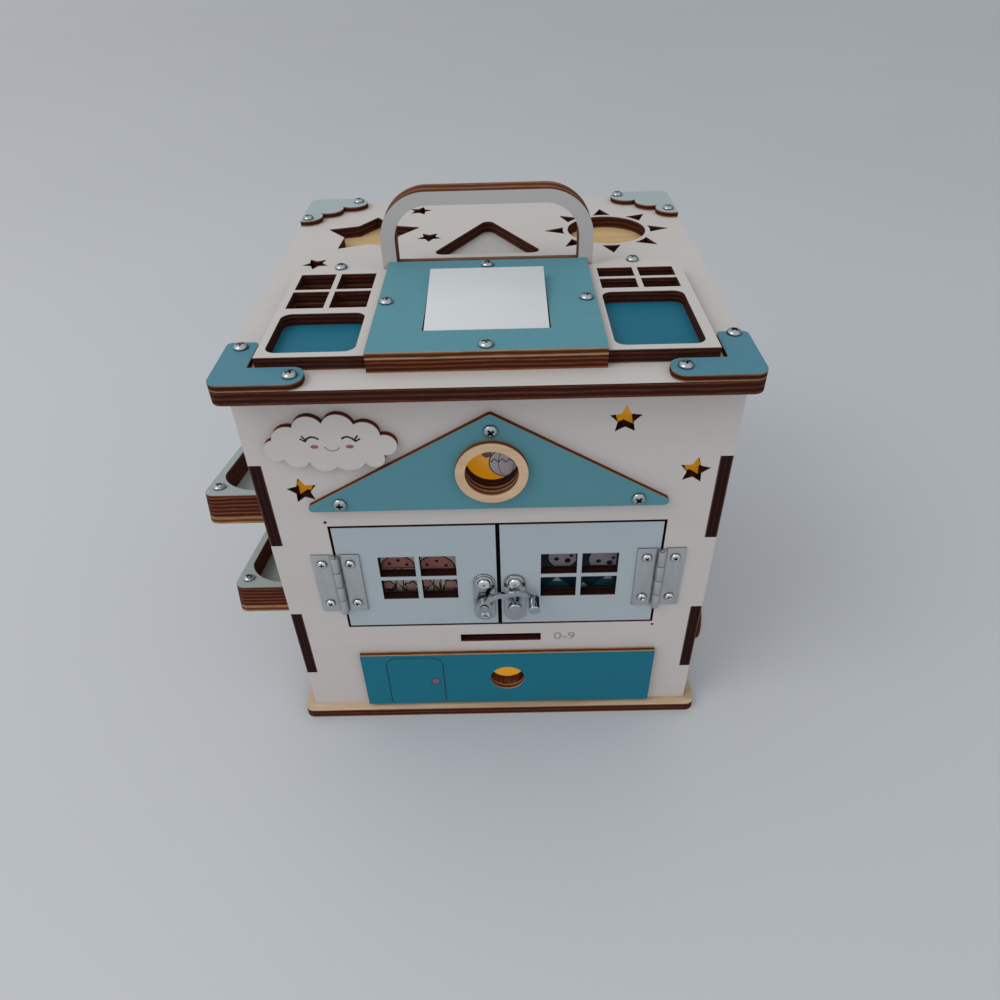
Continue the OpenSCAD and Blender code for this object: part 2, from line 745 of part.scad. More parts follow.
module left_wall_leaf() { color(ZINC) at_hinge(-1) leaf(-1, [0, 2]); }
module left_door_leaf() { color(ZINC) at_hinge(-1) leaf(1, [1, 3]); }
module right_door_leaf() { color(ZINC) at_hinge(1) leaf(-1, [0, 2]); }
module right_wall_leaf() { color(ZINC) at_hinge(1) leaf(1, [1, 3]); }
module left_hinge_pin() { color(ZINC) at_hinge(-1) pin(); }
module right_hinge_pin() { color(ZINC) at_hinge(1) pin(); }
module wall_leaf_screws() { color(ZINC) on_front(wall_leaf_points(), front - leaf_t) leaf_screw(); }

// Doors: side is -1 on the left
door_off = door_gap / 2 + door_w / 2;         // door's middle to the doorway's middle
module door(side) {
  color(PALE) difference() {
    from_front(front, door_t) translate([doorway_x + side * door_off, door_cz]) difference() {
      square([door_w, door_h], center = true);
      panes(pane_w, pane_h, pane_bar);
    }
    on_front(leaf_points(side, -side), front - leaf_t) leaf_screw_hole();
    on_front(side < 0 ? [LEFT_DOME, LEFT_LOWER] : [RIGHT_DOME], front - latch_plate_t)
      screw_hole(length = 5);
  }
}
module left_door() { door(-1); }
module right_door() { door(1); }

// Latch: two oblong plates, an arched arm with a knob on a pivot, and a mushroom stud
LEFT_DOME = [latch_x, latch_z + latch_plate_h / 2 - 5.2];
RIGHT_DOME = [strike_x, latch_z + latch_plate_h / 2 - 5.2];
LEFT_LOWER = [latch_x, latch_z - latch_plate_h / 2 + 4];
module latch_outline(x, z) {
  translate([x, z]) rounded_square([latch_plate_w, latch_plate_h], latch_plate_w / 2 - e);
}
module latch_plate() {
  color(ZINC) difference() {
    from_front(front - latch_plate_t, latch_plate_t) latch_outline(latch_x, latch_z);
    on_front([LEFT_DOME, LEFT_LOWER], front - latch_plate_t) screw_hole(length = 5);
  }
}
module latch_pivot() {
  reach = stand_off - latch_plate_t + arm_t + air;
  color(ZINC) translate([latch_x, front - latch_plate_t, pivot_z]) rotate([90, 0, 0]) {
    cylinder(r = hub_r - 0.3, h = stand_off - latch_plate_t - air);
    cylinder(r = pivot_r, h = reach);
    translate([0, 0, reach]) cylinder(r = pivot_r + 0.7, h = 0.5);
  }
}
// Round knob with a narrow chamfer
module knob(r, h) {
  chamfer = 0.5;
  cylinder(r = r, h = h - chamfer);
  translate([0, 0, h - chamfer]) cylinder(r1 = r, r2 = r - chamfer, h = chamfer);
}
// Middle line of the arm from the pivot to the knob, for t from 0 to 1; flat on top and steep at the ends
function arm_at(t) = t * arm_end + arm_rise * (1 - pow(2 * t - 1, 4)) * [-arm_end.y, arm_end.x] / norm(arm_end);
function arm_normal(t) = let (d = arm_at(t + 0.01) - arm_at(t - 0.01)) [-d.y, d.x] / norm(d);
module latch_arm() {
  n = 28;
  steps = [for (i = [0 : n]) i / n];
  color(ZINC) difference() {
    union() {
      from_front(front - stand_off - arm_t, arm_t) translate([latch_x, pivot_z]) {
        polygon(concat([for (t = steps) arm_at(t) + arm_w / 2 * arm_normal(t)],
                       [for (t = steps) arm_at(1 - t) - arm_w / 2 * arm_normal(1 - t)]));
        circle(hub_r);
        translate(arm_end) circle(knob_r);
      }
      translate([latch_x + arm_end.x, front - stand_off - arm_t + e, pivot_z + arm_end.y])
        rotate([90, 0, 0]) knob(knob_r, 6.9);
    }
    translate([latch_x, front, pivot_z]) rotate([90, 0, 0]) cylinder(r = pivot_r + run, h = 30);
  }
}
module strike_plate() {
  color(ZINC) {
    difference() {
      from_front(front - latch_plate_t, latch_plate_t) latch_outline(strike_x, latch_z - 0.7);
      on_front([RIGHT_DOME], front - latch_plate_t) screw_hole(length = 5);
    }
    translate([strike_x, front - latch_plate_t, stud_z]) rotate([90, 0, 0]) {
      cylinder(r = stud_head_r - 1.1, h = 5.3);
      translate([0, 0, 5.2]) knob(stud_head_r, 2.9);
    }
  }
}
module dome_screw() { pan_screw(r = dome_r, h = 2.6, length = 5); }
module left_door_screws() {
  color(ZINC) {
    on_front(leaf_points(-1, 1), front - leaf_t) leaf_screw();
    on_front([LEFT_DOME], front - latch_plate_t) dome_screw();
    on_front([LEFT_LOWER], front - latch_plate_t) pan_screw(r = 2.6, h = 1, length = 5);
  }
}
module right_door_screws() {
  color(ZINC) {
    on_front(leaf_points(1, -1), front - leaf_t) leaf_screw();
    on_front([RIGHT_DOME], front - latch_plate_t) dome_screw();
  }
}

// Drawer: the overlaid front, the box in the wall's opening and its floor, on two runners
module drawer_front() {
  color(DEEP) from_front(front - air - sheet_t, sheet_t) difference() {
    translate([drawer_x, drawer_front_z0 + drawer_front_h / 2])
      square([drawer_front_w, drawer_front_h], center = true);
    translate([drawer_x, finger_hole_z]) circle(finger_hole_r);
  }
}
module drawer_box() {
  color(BIRCH) difference() {
    translate([drawer_x - box_w / 2, front - air, box_z]) cube([box_w, drawer_d, box_h]);
    translate([drawer_x - box_w / 2 + sheet_t, front - air + ply_t, box_z - e])
      cube([box_w - 2 * sheet_t, drawer_d - ply_t - sheet_t, box_h + 2 * e]);
    from_front(front - 1, ply_t + 2) translate([drawer_x, finger_hole_z]) circle(finger_hole_r);
  }
}
module drawer_floor() {
  color(AMBER) translate([drawer_x - box_w / 2 + sheet_t, front - air + ply_t, box_z])
    cube([box_w - 2 * sheet_t, drawer_d - ply_t - sheet_t, sheet_t]);
}
module drawer_runners() {
  y0 = front + ply_t;
  l = drawer_d + 20;
  color(BIRCH) for (sx = [-1, 1]) {
    translate([drawer_x + sx * (box_w / 2 - 6) - 6, y0, wall_z]) cube([12, l, box_z - air - wall_z]);
    translate([drawer_x + sx * (box_w / 2 + drawer_fit + ply_t / 2) - ply_t / 2, y0, wall_z])
      cube([ply_t, l, box_z + box_h / 2 - wall_z]);
  }
}

// Side trays on the left wall: drawn level, with the front top edge at the origin, then tilted
module at_tray(i) {
  translate([-half_w, tray_front, TRAY_TOPS[i]]) rotate([-side_tray_tilt, 0, 0]) children();
}
module tray_outline() {
  translate([-side_tray_w / 2, side_tray_l / 2]) rounded_square([side_tray_w, side_tray_l], 6);
  translate([-6, 0]) square([6, side_tray_l]);
}
// The well's corners sweep round the screws
module tray_well() {
  wall_rim = 4;
  sweep_r = 25.6;
  sweep_at = [-1.8, 29.8];
  offset(r = 2) offset(delta = -2) intersection() {
    translate([-side_tray_w + side_tray_rim, side_tray_end])
      square([side_tray_w - side_tray_rim - wall_rim, side_tray_l - 2 * side_tray_end]);
    hull() for (y = [sweep_at.y, side_tray_l - sweep_at.y]) translate([sweep_at.x, y]) circle(sweep_r);
  }
}
module tray_rim(i) {
  color(MINT) difference() {
    at_tray(i) translate([0, 0, -4 * sheet_t]) linear_extrude(4 * sheet_t) difference() {
      tray_outline();
      tray_well();
    }
    at_tray(i) on_lid(tray_screw_points(), 0) screw_hole();
  }
}
function tray_screw_points() =
  [[-side_tray_w + 5.9, 8.6], [-side_tray_w + 5.9, side_tray_l - 8.6]];
module tray_floor(i) {
  color(MINT) at_tray(i) translate([0, 0, -tray_stack]) linear_extrude(sheet_t) tray_outline();
}
module upper_tray_rim() { tray_rim(0); }
module upper_tray_floor() { tray_floor(0); }
module lower_tray_rim() { tray_rim(1); }
module lower_tray_floor() { tray_floor(1); }
module tray_screws() {
  color(ZINC) for (i = [0, 1]) at_tray(i) on_lid(tray_screw_points(), 0) pan_screw();
}

// Dial on the right wall
module side_dial() {
  color(BIRCH) translate([half_w + air, dial_at.x, dial_at.y]) rotate([0, 90, 0]) difference() {
    cylinder(r = dial_r, h = sheet_t);
    translate([0, 0, -e]) cylinder(r = axle_r + run, h = sheet_t + 2 * e);
  }
}
module dial_axle() {
  color(ZINC) translate([half_w - ply_t, dial_at.x, dial_at.y]) rotate([0, 90, 0]) {
    cylinder(r = axle_r, h = ply_t + sheet_t + 2 * air);
    translate([0, 0, ply_t + sheet_t + 2 * air]) knob(axle_r * 1.7, 1.6);
  }
}

// Inside: the battery box on the back wall and the lamp strip below the lid
battery_size = [72, 20, 50];
lamp_size = [120, 8, 2];
module battery_box() {
  color([0.15, 0.15, 0.16]) translate([-battery_size.x / 2, back - ply_t - battery_size.y, wall_top - battery_size.z - 20])
    cube(battery_size);
}
module lamp_strip() {
  color([0.95, 0.93, 0.85]) translate([-lamp_size.x / 2, front + ply_t + sheet_t + 0.5, wall_top - lamp_size.z])
    cube(lamp_size);
}

base_plate();
front_wall();
back_wall();
left_wall();
right_wall();
lid_board();
star_floor();
triangle_floor();
sun_floor();
front_left_bracket();
front_right_bracket();
back_left_bracket();
back_right_bracket();
left_facade();
right_facade();
left_tray_liner();
right_tray_liner();
switch_spacer();
switch_plate();
switch_body();
rocker_key();
carry_handle();
lid_screws();
pediment();
window_ring();
cloud_plaque();
front_screws();
amber_sheet();
picture_spacer();
picture_panel();
left_wall_leaf();
left_hinge_pin();
right_wall_leaf();
right_hinge_pin();
wall_leaf_screws();
left_door();
left_door_leaf();
left_door_screws();
latch_plate();
latch_pivot();
latch_arm();
right_door();
right_door_leaf();
right_door_screws();
strike_plate();
drawer_front();
drawer_box();
drawer_floor();
drawer_runners();
upper_tray_rim();
upper_tray_floor();
lower_tray_rim();
lower_tray_floor();
tray_screws();
side_dial();
dial_axle();
battery_box();
lamp_strip();
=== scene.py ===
"""Looks of a toddler's activity cube: a laser-cut plywood play house, 22 cm wide, in metres."""

import json
import math
import random

import bmesh
import bpy
from mathutils import Euler, Matrix, Vector

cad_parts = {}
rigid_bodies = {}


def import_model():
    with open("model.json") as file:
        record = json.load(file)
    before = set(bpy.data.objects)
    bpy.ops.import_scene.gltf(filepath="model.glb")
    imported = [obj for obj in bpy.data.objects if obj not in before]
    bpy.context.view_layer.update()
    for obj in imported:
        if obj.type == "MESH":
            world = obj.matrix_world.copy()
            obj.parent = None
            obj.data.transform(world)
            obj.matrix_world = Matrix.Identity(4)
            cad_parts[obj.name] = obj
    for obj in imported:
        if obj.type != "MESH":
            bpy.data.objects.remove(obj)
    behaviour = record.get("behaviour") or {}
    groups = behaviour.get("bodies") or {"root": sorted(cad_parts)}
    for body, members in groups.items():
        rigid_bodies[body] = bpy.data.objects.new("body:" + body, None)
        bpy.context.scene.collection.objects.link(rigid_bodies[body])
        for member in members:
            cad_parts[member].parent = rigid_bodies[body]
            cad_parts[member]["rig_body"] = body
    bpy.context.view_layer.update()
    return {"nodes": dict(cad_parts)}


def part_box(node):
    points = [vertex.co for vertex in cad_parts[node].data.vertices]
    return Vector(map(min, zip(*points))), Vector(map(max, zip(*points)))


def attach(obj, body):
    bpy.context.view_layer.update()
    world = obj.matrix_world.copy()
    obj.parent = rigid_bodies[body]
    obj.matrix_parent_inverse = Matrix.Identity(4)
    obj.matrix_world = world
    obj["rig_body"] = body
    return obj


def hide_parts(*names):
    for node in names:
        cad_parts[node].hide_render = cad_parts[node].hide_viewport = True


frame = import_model()
MM = 0.001

# Box boards
# The walls are 6 mm birch plywood, joined by fingers and glued, painted matt white outside and bare inside.
# A laser cut them, so every edge is charred: brown plies with darker cross plies between them and a paler
# lip at the face.


def colour(code):
    """Linear colour of an sRGB hex value."""
    parts = [int(code[i:i + 2], 16) / 255 for i in (1, 3, 5)]
    return [c / 12.92 if c <= 0.04045 else ((c + 0.055) / 1.055) ** 2.4 for c in parts] + [1]


def shown(sockets, key):
    """The enabled socket with that name or number."""
    enabled = [s for s in sockets if s.enabled]
    return enabled[key] if isinstance(key, int) else next(s for s in enabled if s.name == key)


def add(tree, kind, inputs=None, **settings):
    """A new node with its settings. An input is a value, a socket, or a node's first output."""
    node = tree.nodes.new(kind)
    for name, value in settings.items():
        setattr(node, name, value)
    for key, value in (inputs or {}).items():
        if isinstance(value, bpy.types.Node):
            value = shown(value.outputs, 0)
        if isinstance(value, bpy.types.NodeSocket):
            tree.links.new(value, shown(node.inputs, key))
        else:
            shown(node.inputs, key).default_value = value
    return node


def start_material(name):
    """A new material, its node tree and its shader."""
    material = bpy.data.materials.new(name)
    material.use_nodes = True
    return material, material.node_tree, material.node_tree.nodes["Principled BSDF"]


# Features per mm of each pattern, along the board's length, width and thickness
WANDER = (0.05, 0.05, 0.05)               # plies waver over 20 mm
STREAKS = (0.11, 0.11, 3.2)               # char in streaks 9 mm long and 0.3 mm high
FLECKS = (1.1, 1.1, 1.6)                  # spots under 1 mm where the char has rubbed off
GRAIN_LINES = (0.035, 0.9, 0.9)           # pores 28 mm long and 1.1 mm apart
FIGURE = (0.012, 0.07, 0.07)              # broad bands of growth, 80 by 14 mm
# A cut edge from its dark plies to its pale ones, where it is raw, browned and burnt
RAW_EDGE = ("#5a3418", "#c79d68")
BROWN_EDGE = ("#300d05", "#87492c")
BURNT_EDGE = ("#170504", "#3c1710")
RUBBED_CHAR = "#94705e"
LIP_WOOD = "#a99276"
PORE_SHADE = "#b49a78"
LIP_FULL, LIP_END = 0.3, 0.55             # mm from a face over which its bare lip fades out
SKIN = 0.06                               # mm below a face that still count as the face
LEVEL = 0.7                               # cosine of the steepest slope that is still a face
SQUARE_ON = 0.985                         # the same for an upright board, so that finger holes are edges


def plywood_pattern():
    """Group that draws a laser-cut board. Turn brings its axis to Z; Low and High are its two faces in mm."""
    tree = bpy.data.node_groups.new("laser_cut_plywood", "ShaderNodeTree")
    for name, kind in (("Turn", "Vector"), ("Low", "Float"), ("High", "Float"), ("Plies", "Float"),
                       ("Face", "Color"), ("Reverse", "Color"), ("Grain", "Float"), ("Char", "Float"),
                       ("Lip", "Float"), ("Gloss", "Float"), ("Upright", "Float")):
        tree.interface.new_socket(name, in_out="INPUT", socket_type="NodeSocket" + kind)
    for name, kind in (("Color", "Color"), ("Roughness", "Float"), ("Height", "Float")):
        tree.interface.new_socket(name, in_out="OUTPUT", socket_type="NodeSocket" + kind)
    given = add(tree, "NodeGroupInput").outputs
    place = add(tree, "ShaderNodeTexCoord").outputs
    at = add(tree, "ShaderNodeMapping",
             {"Vector": place["Object"], "Rotation": given["Turn"], "Scale": [1 / MM] * 3})
    lean = add(tree, "ShaderNodeMapping", {"Vector": place["Normal"], "Rotation": given["Turn"]},
               vector_type="VECTOR")
    z = add(tree, "ShaderNodeSeparateXYZ", {0: at}).outputs["Z"]
    normal_z = add(tree, "ShaderNodeSeparateXYZ", {0: lean}).outputs["Z"]
    around = add(tree, "ShaderNodeVectorMath", {0: lean}, operation="ABSOLUTE")
    across = add(tree, "ShaderNodeSeparateXYZ", {0: around}).outputs
    wander_at, streak_at, fleck_at, grain_at, figure_at = (
        add(tree, "ShaderNodeVectorMath", {0: at, 1: per_mm}, operation="MULTIPLY")
        for per_mm in (WANDER, STREAKS, FLECKS, GRAIN_LINES, FIGURE))

    # the two faces, without what is cut into them
    up = add(tree, "ShaderNodeMath", {0: z, 1: given["Low"]}, operation="SUBTRACT")
    down = add(tree, "ShaderNodeMath", {0: given["High"], 1: z}, operation="SUBTRACT")
    near = add(tree, "ShaderNodeMath", {0: up, 1: down}, operation="MINIMUM")
    steep = add(tree, "ShaderNodeMath", {0: normal_z}, operation="ABSOLUTE")
    level = add(tree, "ShaderNodeMath", {0: steep, 1: LEVEL}, operation="GREATER_THAN")
    skin = add(tree, "ShaderNodeMath", {0: near, 1: SKIN}, operation="LESS_THAN")
    flat = add(tree, "ShaderNodeMath", {0: level, 1: skin}, operation="MULTIPLY")
    square_on = add(tree, "ShaderNodeMath", {0: across["X"], 1: across["Y"]}, operation="MAXIMUM")
    upright = add(tree, "ShaderNodeMath", {0: square_on, 1: SQUARE_ON}, operation="GREATER_THAN")
    face = add(tree, "ShaderNodeMix", {"Factor": given["Upright"], "A": flat, "B": upright})

    # plies seen on an edge: a cosine across the board that wanders a little, each ply of its own strength
    wander = add(tree, "ShaderNodeTexNoise", {"Vector": wander_at, "Scale": 1, "Detail": 2})
    board = add(tree, "ShaderNodeMath", {0: given["High"], 1: given["Low"]}, operation="SUBTRACT")
    share = add(tree, "ShaderNodeMath", {0: up, 1: board}, operation="DIVIDE")
    ply = add(tree, "ShaderNodeMath", {0: share, 1: given["Plies"], 2: wander}, operation="MULTIPLY_ADD")
    angle = add(tree, "ShaderNodeMath", {0: ply, 1: math.pi, 2: -math.pi}, operation="MULTIPLY_ADD")
    wave = add(tree, "ShaderNodeMath", {0: angle}, operation="COSINE")
    tone = add(tree, "ShaderNodeMapRange", {0: wave, 1: 0.0, 2: 0.85}, interpolation_type="SMOOTHSTEP")
    streak = add(tree, "ShaderNodeTexNoise", {"Vector": streak_at, "Scale": 1, "Detail": 5, "Roughness": 0.7})
    lively = add(tree, "ShaderNodeMapRange", {0: streak, 1: 0.3, 2: 0.72, 3: 0.15, 4: 1.35})
    ply_number = add(tree, "ShaderNodeMath", {0: ply, 1: 0.5}, operation="MULTIPLY")
    whole_number = add(tree, "ShaderNodeMath", {0: ply_number}, operation="FLOOR")
    ply_seed = add(tree, "ShaderNodeMath", {0: given["High"], 1: whole_number}, operation="ADD")
    chance = add(tree, "ShaderNodeTexWhiteNoise", {"W": ply_seed}, noise_dimensions="1D").outputs["Value"]
    strength = add(tree, "ShaderNodeMath", {0: chance, 1: 0.6, 2: 0.55}, operation="MULTIPLY_ADD")
    uneven = add(tree, "ShaderNodeMath", {0: tone, 1: strength}, operation="MULTIPLY")
    light = add(tree, "ShaderNodeMath", {0: uneven, 1: lively}, operation="MULTIPLY")
    faint = add(tree, "ShaderNodeMath", {0: lively, 1: 0.13, 2: light}, operation="MULTIPLY_ADD",
                use_clamp=True)
    raw, brown, burnt = (
        add(tree, "ShaderNodeMix", {"Factor": faint, "A": colour(dark), "B": colour(pale)}, data_type="RGBA")
        for dark, pale in (RAW_EDGE, BROWN_EDGE, BURNT_EDGE))
    some = add(tree, "ShaderNodeMapRange", {0: given["Char"], 1: 0.0, 2: 0.5})
    more = add(tree, "ShaderNodeMapRange", {0: given["Char"], 1: 0.5, 2: 1.0})
    scorched = add(tree, "ShaderNodeMix", {"Factor": some, "A": raw, "B": brown}, data_type="RGBA")
    charred = add(tree, "ShaderNodeMix", {"Factor": more, "A": scorched, "B": burnt}, data_type="RGBA")
    fleck = add(tree, "ShaderNodeTexNoise", {"Vector": fleck_at, "Scale": 1, "Detail": 3, "Roughness": 0.75})
    fleck_part = add(tree, "ShaderNodeMapRange", {0: fleck, 1: 0.64, 2: 0.74, 3: 0.0, 4: 0.45})
    flecked = add(tree, "ShaderNodeMix", {"Factor": fleck_part, "A": charred, "B": colour(RUBBED_CHAR)},
                  data_type="RGBA")
    lip = add(tree, "ShaderNodeMapRange", {0: near, 1: LIP_FULL, 2: LIP_END, 3: 1.0, 4: 0.0})
    broken = add(tree, "ShaderNodeMapRange", {0: streak, 1: 0.3, 2: 0.5, 3: 0.35, 4: 1.0})
    lip_part = add(tree, "ShaderNodeMath", {0: lip, 1: broken}, operation="MULTIPLY")
    lip_share = add(tree, "ShaderNodeMath", {0: lip_part, 1: given["Lip"]}, operation="MULTIPLY")
    edge = add(tree, "ShaderNodeMix", {"Factor": lip_share, "A": flecked, "B": colour(LIP_WOOD)},
               data_type="RGBA")

    # faces: paint that lets the long grain of the birch show a little, or bare birch
    grain = add(tree, "ShaderNodeTexNoise",
                {"Vector": grain_at, "Scale": 1, "Detail": 5, "Roughness": 0.65, "Distortion": 0.4})
    figure = add(tree, "ShaderNodeTexNoise",
                 {"Vector": figure_at, "Scale": 1, "Detail": 3, "Distortion": 1.2})
    line = add(tree, "ShaderNodeMath", {0: grain, 1: 0.6, 2: figure}, operation="MULTIPLY_ADD")
    dark_line = add(tree, "ShaderNodeMapRange", {0: line, 1: 0.6, 2: 1.05})
    amount = add(tree, "ShaderNodeMath", {0: dark_line, 1: given["Grain"]}, operation="MULTIPLY")
    front_side = add(tree, "ShaderNodeMath", {0: normal_z, 1: 0}, operation="GREATER_THAN")
    paint = add(tree, "ShaderNodeMix", {"Factor": front_side, "A": given["Reverse"], "B": given["Face"]},
                data_type="RGBA")
    surface = add(tree, "ShaderNodeMix", {"Factor": amount, "A": paint, "B": colour(PORE_SHADE)},
                  data_type="RGBA", blend_type="MULTIPLY")
    final = add(tree, "ShaderNodeMix", {"Factor": face, "A": edge, "B": surface}, data_type="RGBA")

    matt = add(tree, "ShaderNodeMath", {0: grain, 1: 0.12, 2: given["Gloss"]}, operation="MULTIPLY_ADD")
    rough = add(tree, "ShaderNodeMix", {"Factor": face, "A": 0.85, "B": matt})
    low_grain = add(tree, "ShaderNodeMath", {0: grain, 1: 0.35}, operation="MULTIPLY")
    height = add(tree, "ShaderNodeMix", {"Factor": face, "A": streak, "B": low_grain})
    add(tree, "NodeGroupOutput", {"Color": final, "Roughness": rough, "Height": height})
    return tree


PLYWOOD = plywood_pattern()

# Turns that bring a board's shown side to +Z, with the face grain along X
FACING_UP = (0, 0, 0)
FACING_FRONT = (-math.pi / 2, 0, 0)
FACING_BACK = (math.pi / 2, 0, 0)
FACING_LEFT = (0, math.pi / 2, 0)
FACING_RIGHT = (0, -math.pi / 2, 0)
WHITE = "#c2bdbc"
BIRCH = "#c8b299"
BARE_GRAIN, PAINT_GRAIN = 0.75, 0.05      # how strongly the grain shows


def finish(piece, *materials):
    """Gives a piece these materials and no others."""
    piece.data.materials.clear()
    for material in materials:
        piece.data.materials.append(material)


def board(node, turn, plies, face, reverse=BIRCH, grain=PAINT_GRAIN, char=0.7, lip=0.25, gloss=0.5,
          upright=0):
    """Paints a CAD board, its plies counted through its own thickness. Char goes from 0, raw, to 1, burnt;
    lip is how bare its edge is next to the paint; upright is 1 for a box of boards that stand on edge."""
    piece = frame["nodes"][node]
    matrix = Euler(turn).to_matrix()
    through = [(matrix @ v.co).z / MM for v in piece.data.vertices]
    material, tree, shader = start_material(node + "_plywood")
    pattern = add(tree, "ShaderNodeGroup",
                  {"Turn": turn, "Low": min(through), "High": max(through), "Plies": plies,
                   "Face": colour(face), "Reverse": colour(reverse), "Grain": grain, "Char": char,
                   "Lip": lip, "Gloss": gloss, "Upright": upright}, node_tree=PLYWOOD)
    shader.inputs["IOR"].default_value = 1.45
    shader.inputs["Specular IOR Level"].default_value = 0.2
    tree.links.new(pattern.outputs["Color"], shader.inputs["Base Color"])
    tree.links.new(pattern.outputs["Roughness"], shader.inputs["Roughness"])
    relief = add(tree, "ShaderNodeBump",
                 {"Height": pattern.outputs["Height"], "Strength": 0.15, "Distance": 0.1 * MM})
    tree.links.new(relief.outputs["Normal"], shader.inputs["Normal"])
    finish(piece, material)


board("base_plate", FACING_UP, 5, BIRCH, grain=BARE_GRAIN)
board("front_wall", FACING_FRONT, 5, WHITE, char=0.85)
board("back_wall", FACING_BACK, 5, WHITE, char=1.0)
board("left_wall", FACING_LEFT, 5, WHITE, char=1.0)
board("right_wall", FACING_RIGHT, 5, WHITE, char=1.0)

# Marks on the front wall
# The numerals beside the posting slot are printed in grey; two pin holes near the doorway's corners are
# where the laser was started.


def smooth_by_angle(mesh, degrees=32):
    """Smooth shading, with edges above that angle kept sharp."""
    for face in mesh.faces:
        face.smooth = True
    for edge in mesh.edges:
        edge.smooth = len(edge.link_faces) != 2 or edge.calc_face_angle(0) < math.radians(degrees)


def placed(name, data):
    """A new object in the scene."""
    thing = bpy.data.objects.new(name, data)
    bpy.context.scene.collection.objects.link(thing)
    return thing


def make(name, mesh, degrees=32):
    """An object from a bmesh whose points are already where they belong."""
    smooth_by_angle(mesh, degrees)
    data = bpy.data.meshes.new(name)
    mesh.to_mesh(data)
    mesh.free()
    return placed(name, data)


def on_front(name, outlines, y, thick):
    """Flat closed shapes on a plane that faces the front: outlines of (x, z) in mm, thick to the front."""
    mesh = bmesh.new()
    for outline in outlines:
        rings = [[mesh.verts.new((px * MM, (y - out) * MM, pz * MM)) for px, pz in outline]
                 for out in (0, thick)]
        mesh.faces.new(rings[0])
        mesh.faces.new(reversed(rings[1]))
        for i in range(len(outline)):
            j = (i + 1) % len(outline)
            mesh.faces.new((rings[0][i], rings[0][j], rings[1][j], rings[1][i]))
    bmesh.ops.recalc_face_normals(mesh, faces=mesh.faces)
    return make(name, mesh)


def front_face(node):
    """Where a CAD piece's front face is along Y, in mm."""
    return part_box(node)[0].y / MM


def dress(piece, material, body):
    """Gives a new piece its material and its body."""
    finish(piece, material)
    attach(piece, body)


def circle(cx, cz, r, steps=40):
    """Points of a circle."""
    return [(cx + r * math.cos(math.tau * i / steps), cz + r * math.sin(math.tau * i / steps))
            for i in range(steps)]


def stroke(points, width):
    """Outline of a line of even width along these points, with square ends."""
    left, right = [], []
    for i, (px, pz) in enumerate(points):
        before, after = points[max(i - 1, 0)], points[min(i + 1, len(points) - 1)]
        along = Vector((after[0] - before[0], after[1] - before[1])).normalized()
        left.append((px - along.y * width / 2, pz + along.x * width / 2))
        right.append((px + along.y * width / 2, pz - along.x * width / 2))
    return left + right[::-1]


def arc(cx, cz, rx, rz, start, end, steps=16):
    """Points of a stretch of an ellipse, between two angles in degrees."""
    angles = [math.radians(start + (end - start) * i / steps) for i in range(steps + 1)]
    return [(cx + rx * math.cos(a), cz + rz * math.sin(a)) for a in angles]


PORE_GREY = "#b5b0a8"


def ink(name, code, rough=0.55):
    """Printing ink on paint: flat, with a fine mottle from the wood's pores below it."""
    material, tree, shader = start_material(name)
    place = add(tree, "ShaderNodeTexCoord").outputs["Object"]
    pores = add(tree, "ShaderNodeTexNoise", {"Vector": place, "Scale": 900, "Detail": 3})    # 1.1 mm
    spread = add(tree, "ShaderNodeMapRange", {0: pores, 1: 0.3, 2: 0.7, 3: 0.0, 4: 0.35})
    mottle = add(tree, "ShaderNodeMix", {"Factor": spread, "A": colour(code), "B": colour(PORE_GREY)},
                 data_type="RGBA", blend_type="MULTIPLY")
    tree.links.new(shown(mottle.outputs, 0), shader.inputs["Base Color"])
    shader.inputs["Roughness"].default_value = rough
    shader.inputs["Specular IOR Level"].default_value = 0.25
    return material


WALL_FRONT = front_face("front_wall")
NUMERALS_LEFT, NUMERALS_FOOT, NUMERALS_WIDTH, NUMERALS_HEIGHT = 31.5, 59.6, 11.5, 5.7
INK_THICK, PRINT_THICK = 0.05, 0.06
HAIR = 0.01                               # mm that keep a mark and the face below it off one plane

lettering = bpy.data.curves.new("numerals", "FONT")
lettering.body = "0-9"
lettering.extrude = PRINT_THICK / 2 * MM
lettering.offset = 0.12 * MM              # makes the strokes bolder
lettering_object = placed("numerals_text", lettering)
bpy.context.view_layer.update()
numerals_mesh = bpy.data.meshes.new_from_object(lettering_object)
bpy.data.objects.remove(lettering_object)
low = Vector(min(v.co[i] for v in numerals_mesh.vertices) for i in range(3))
high = Vector(max(v.co[i] for v in numerals_mesh.vertices) for i in range(3))
numerals_mesh.transform(
    Matrix.Translation((NUMERALS_LEFT * MM, (WALL_FRONT - PRINT_THICK / 2 - HAIR) * MM, NUMERALS_FOOT * MM))
    @ Matrix.Rotation(math.pi / 2, 4, "X")
    @ Matrix.Diagonal((NUMERALS_WIDTH * MM / (high.x - low.x), NUMERALS_HEIGHT * MM / (high.y - low.y), 1, 1))
    @ Matrix.Translation((-low.x, -low.y, 0)))
numerals = placed("printed_numerals", numerals_mesh)
dress(numerals, ink("grey_ink", "#8d9190"), "house")

PIN_HOLES = [(-80.7, 147.9), (84.8, 70.5)]
PIN_HOLE_R = 0.8
# The pin holes are not cut: near-black discs stand for them, their colour the char round them and painted
# shade inside
pin_holes = on_front("pin_holes", [circle(x, z, PIN_HOLE_R, 20) for x, z in PIN_HOLES],
                     WALL_FRONT + HAIR, INK_THICK)
dress(pin_holes, ink("laser_char", "#120805", 0.8), "house")
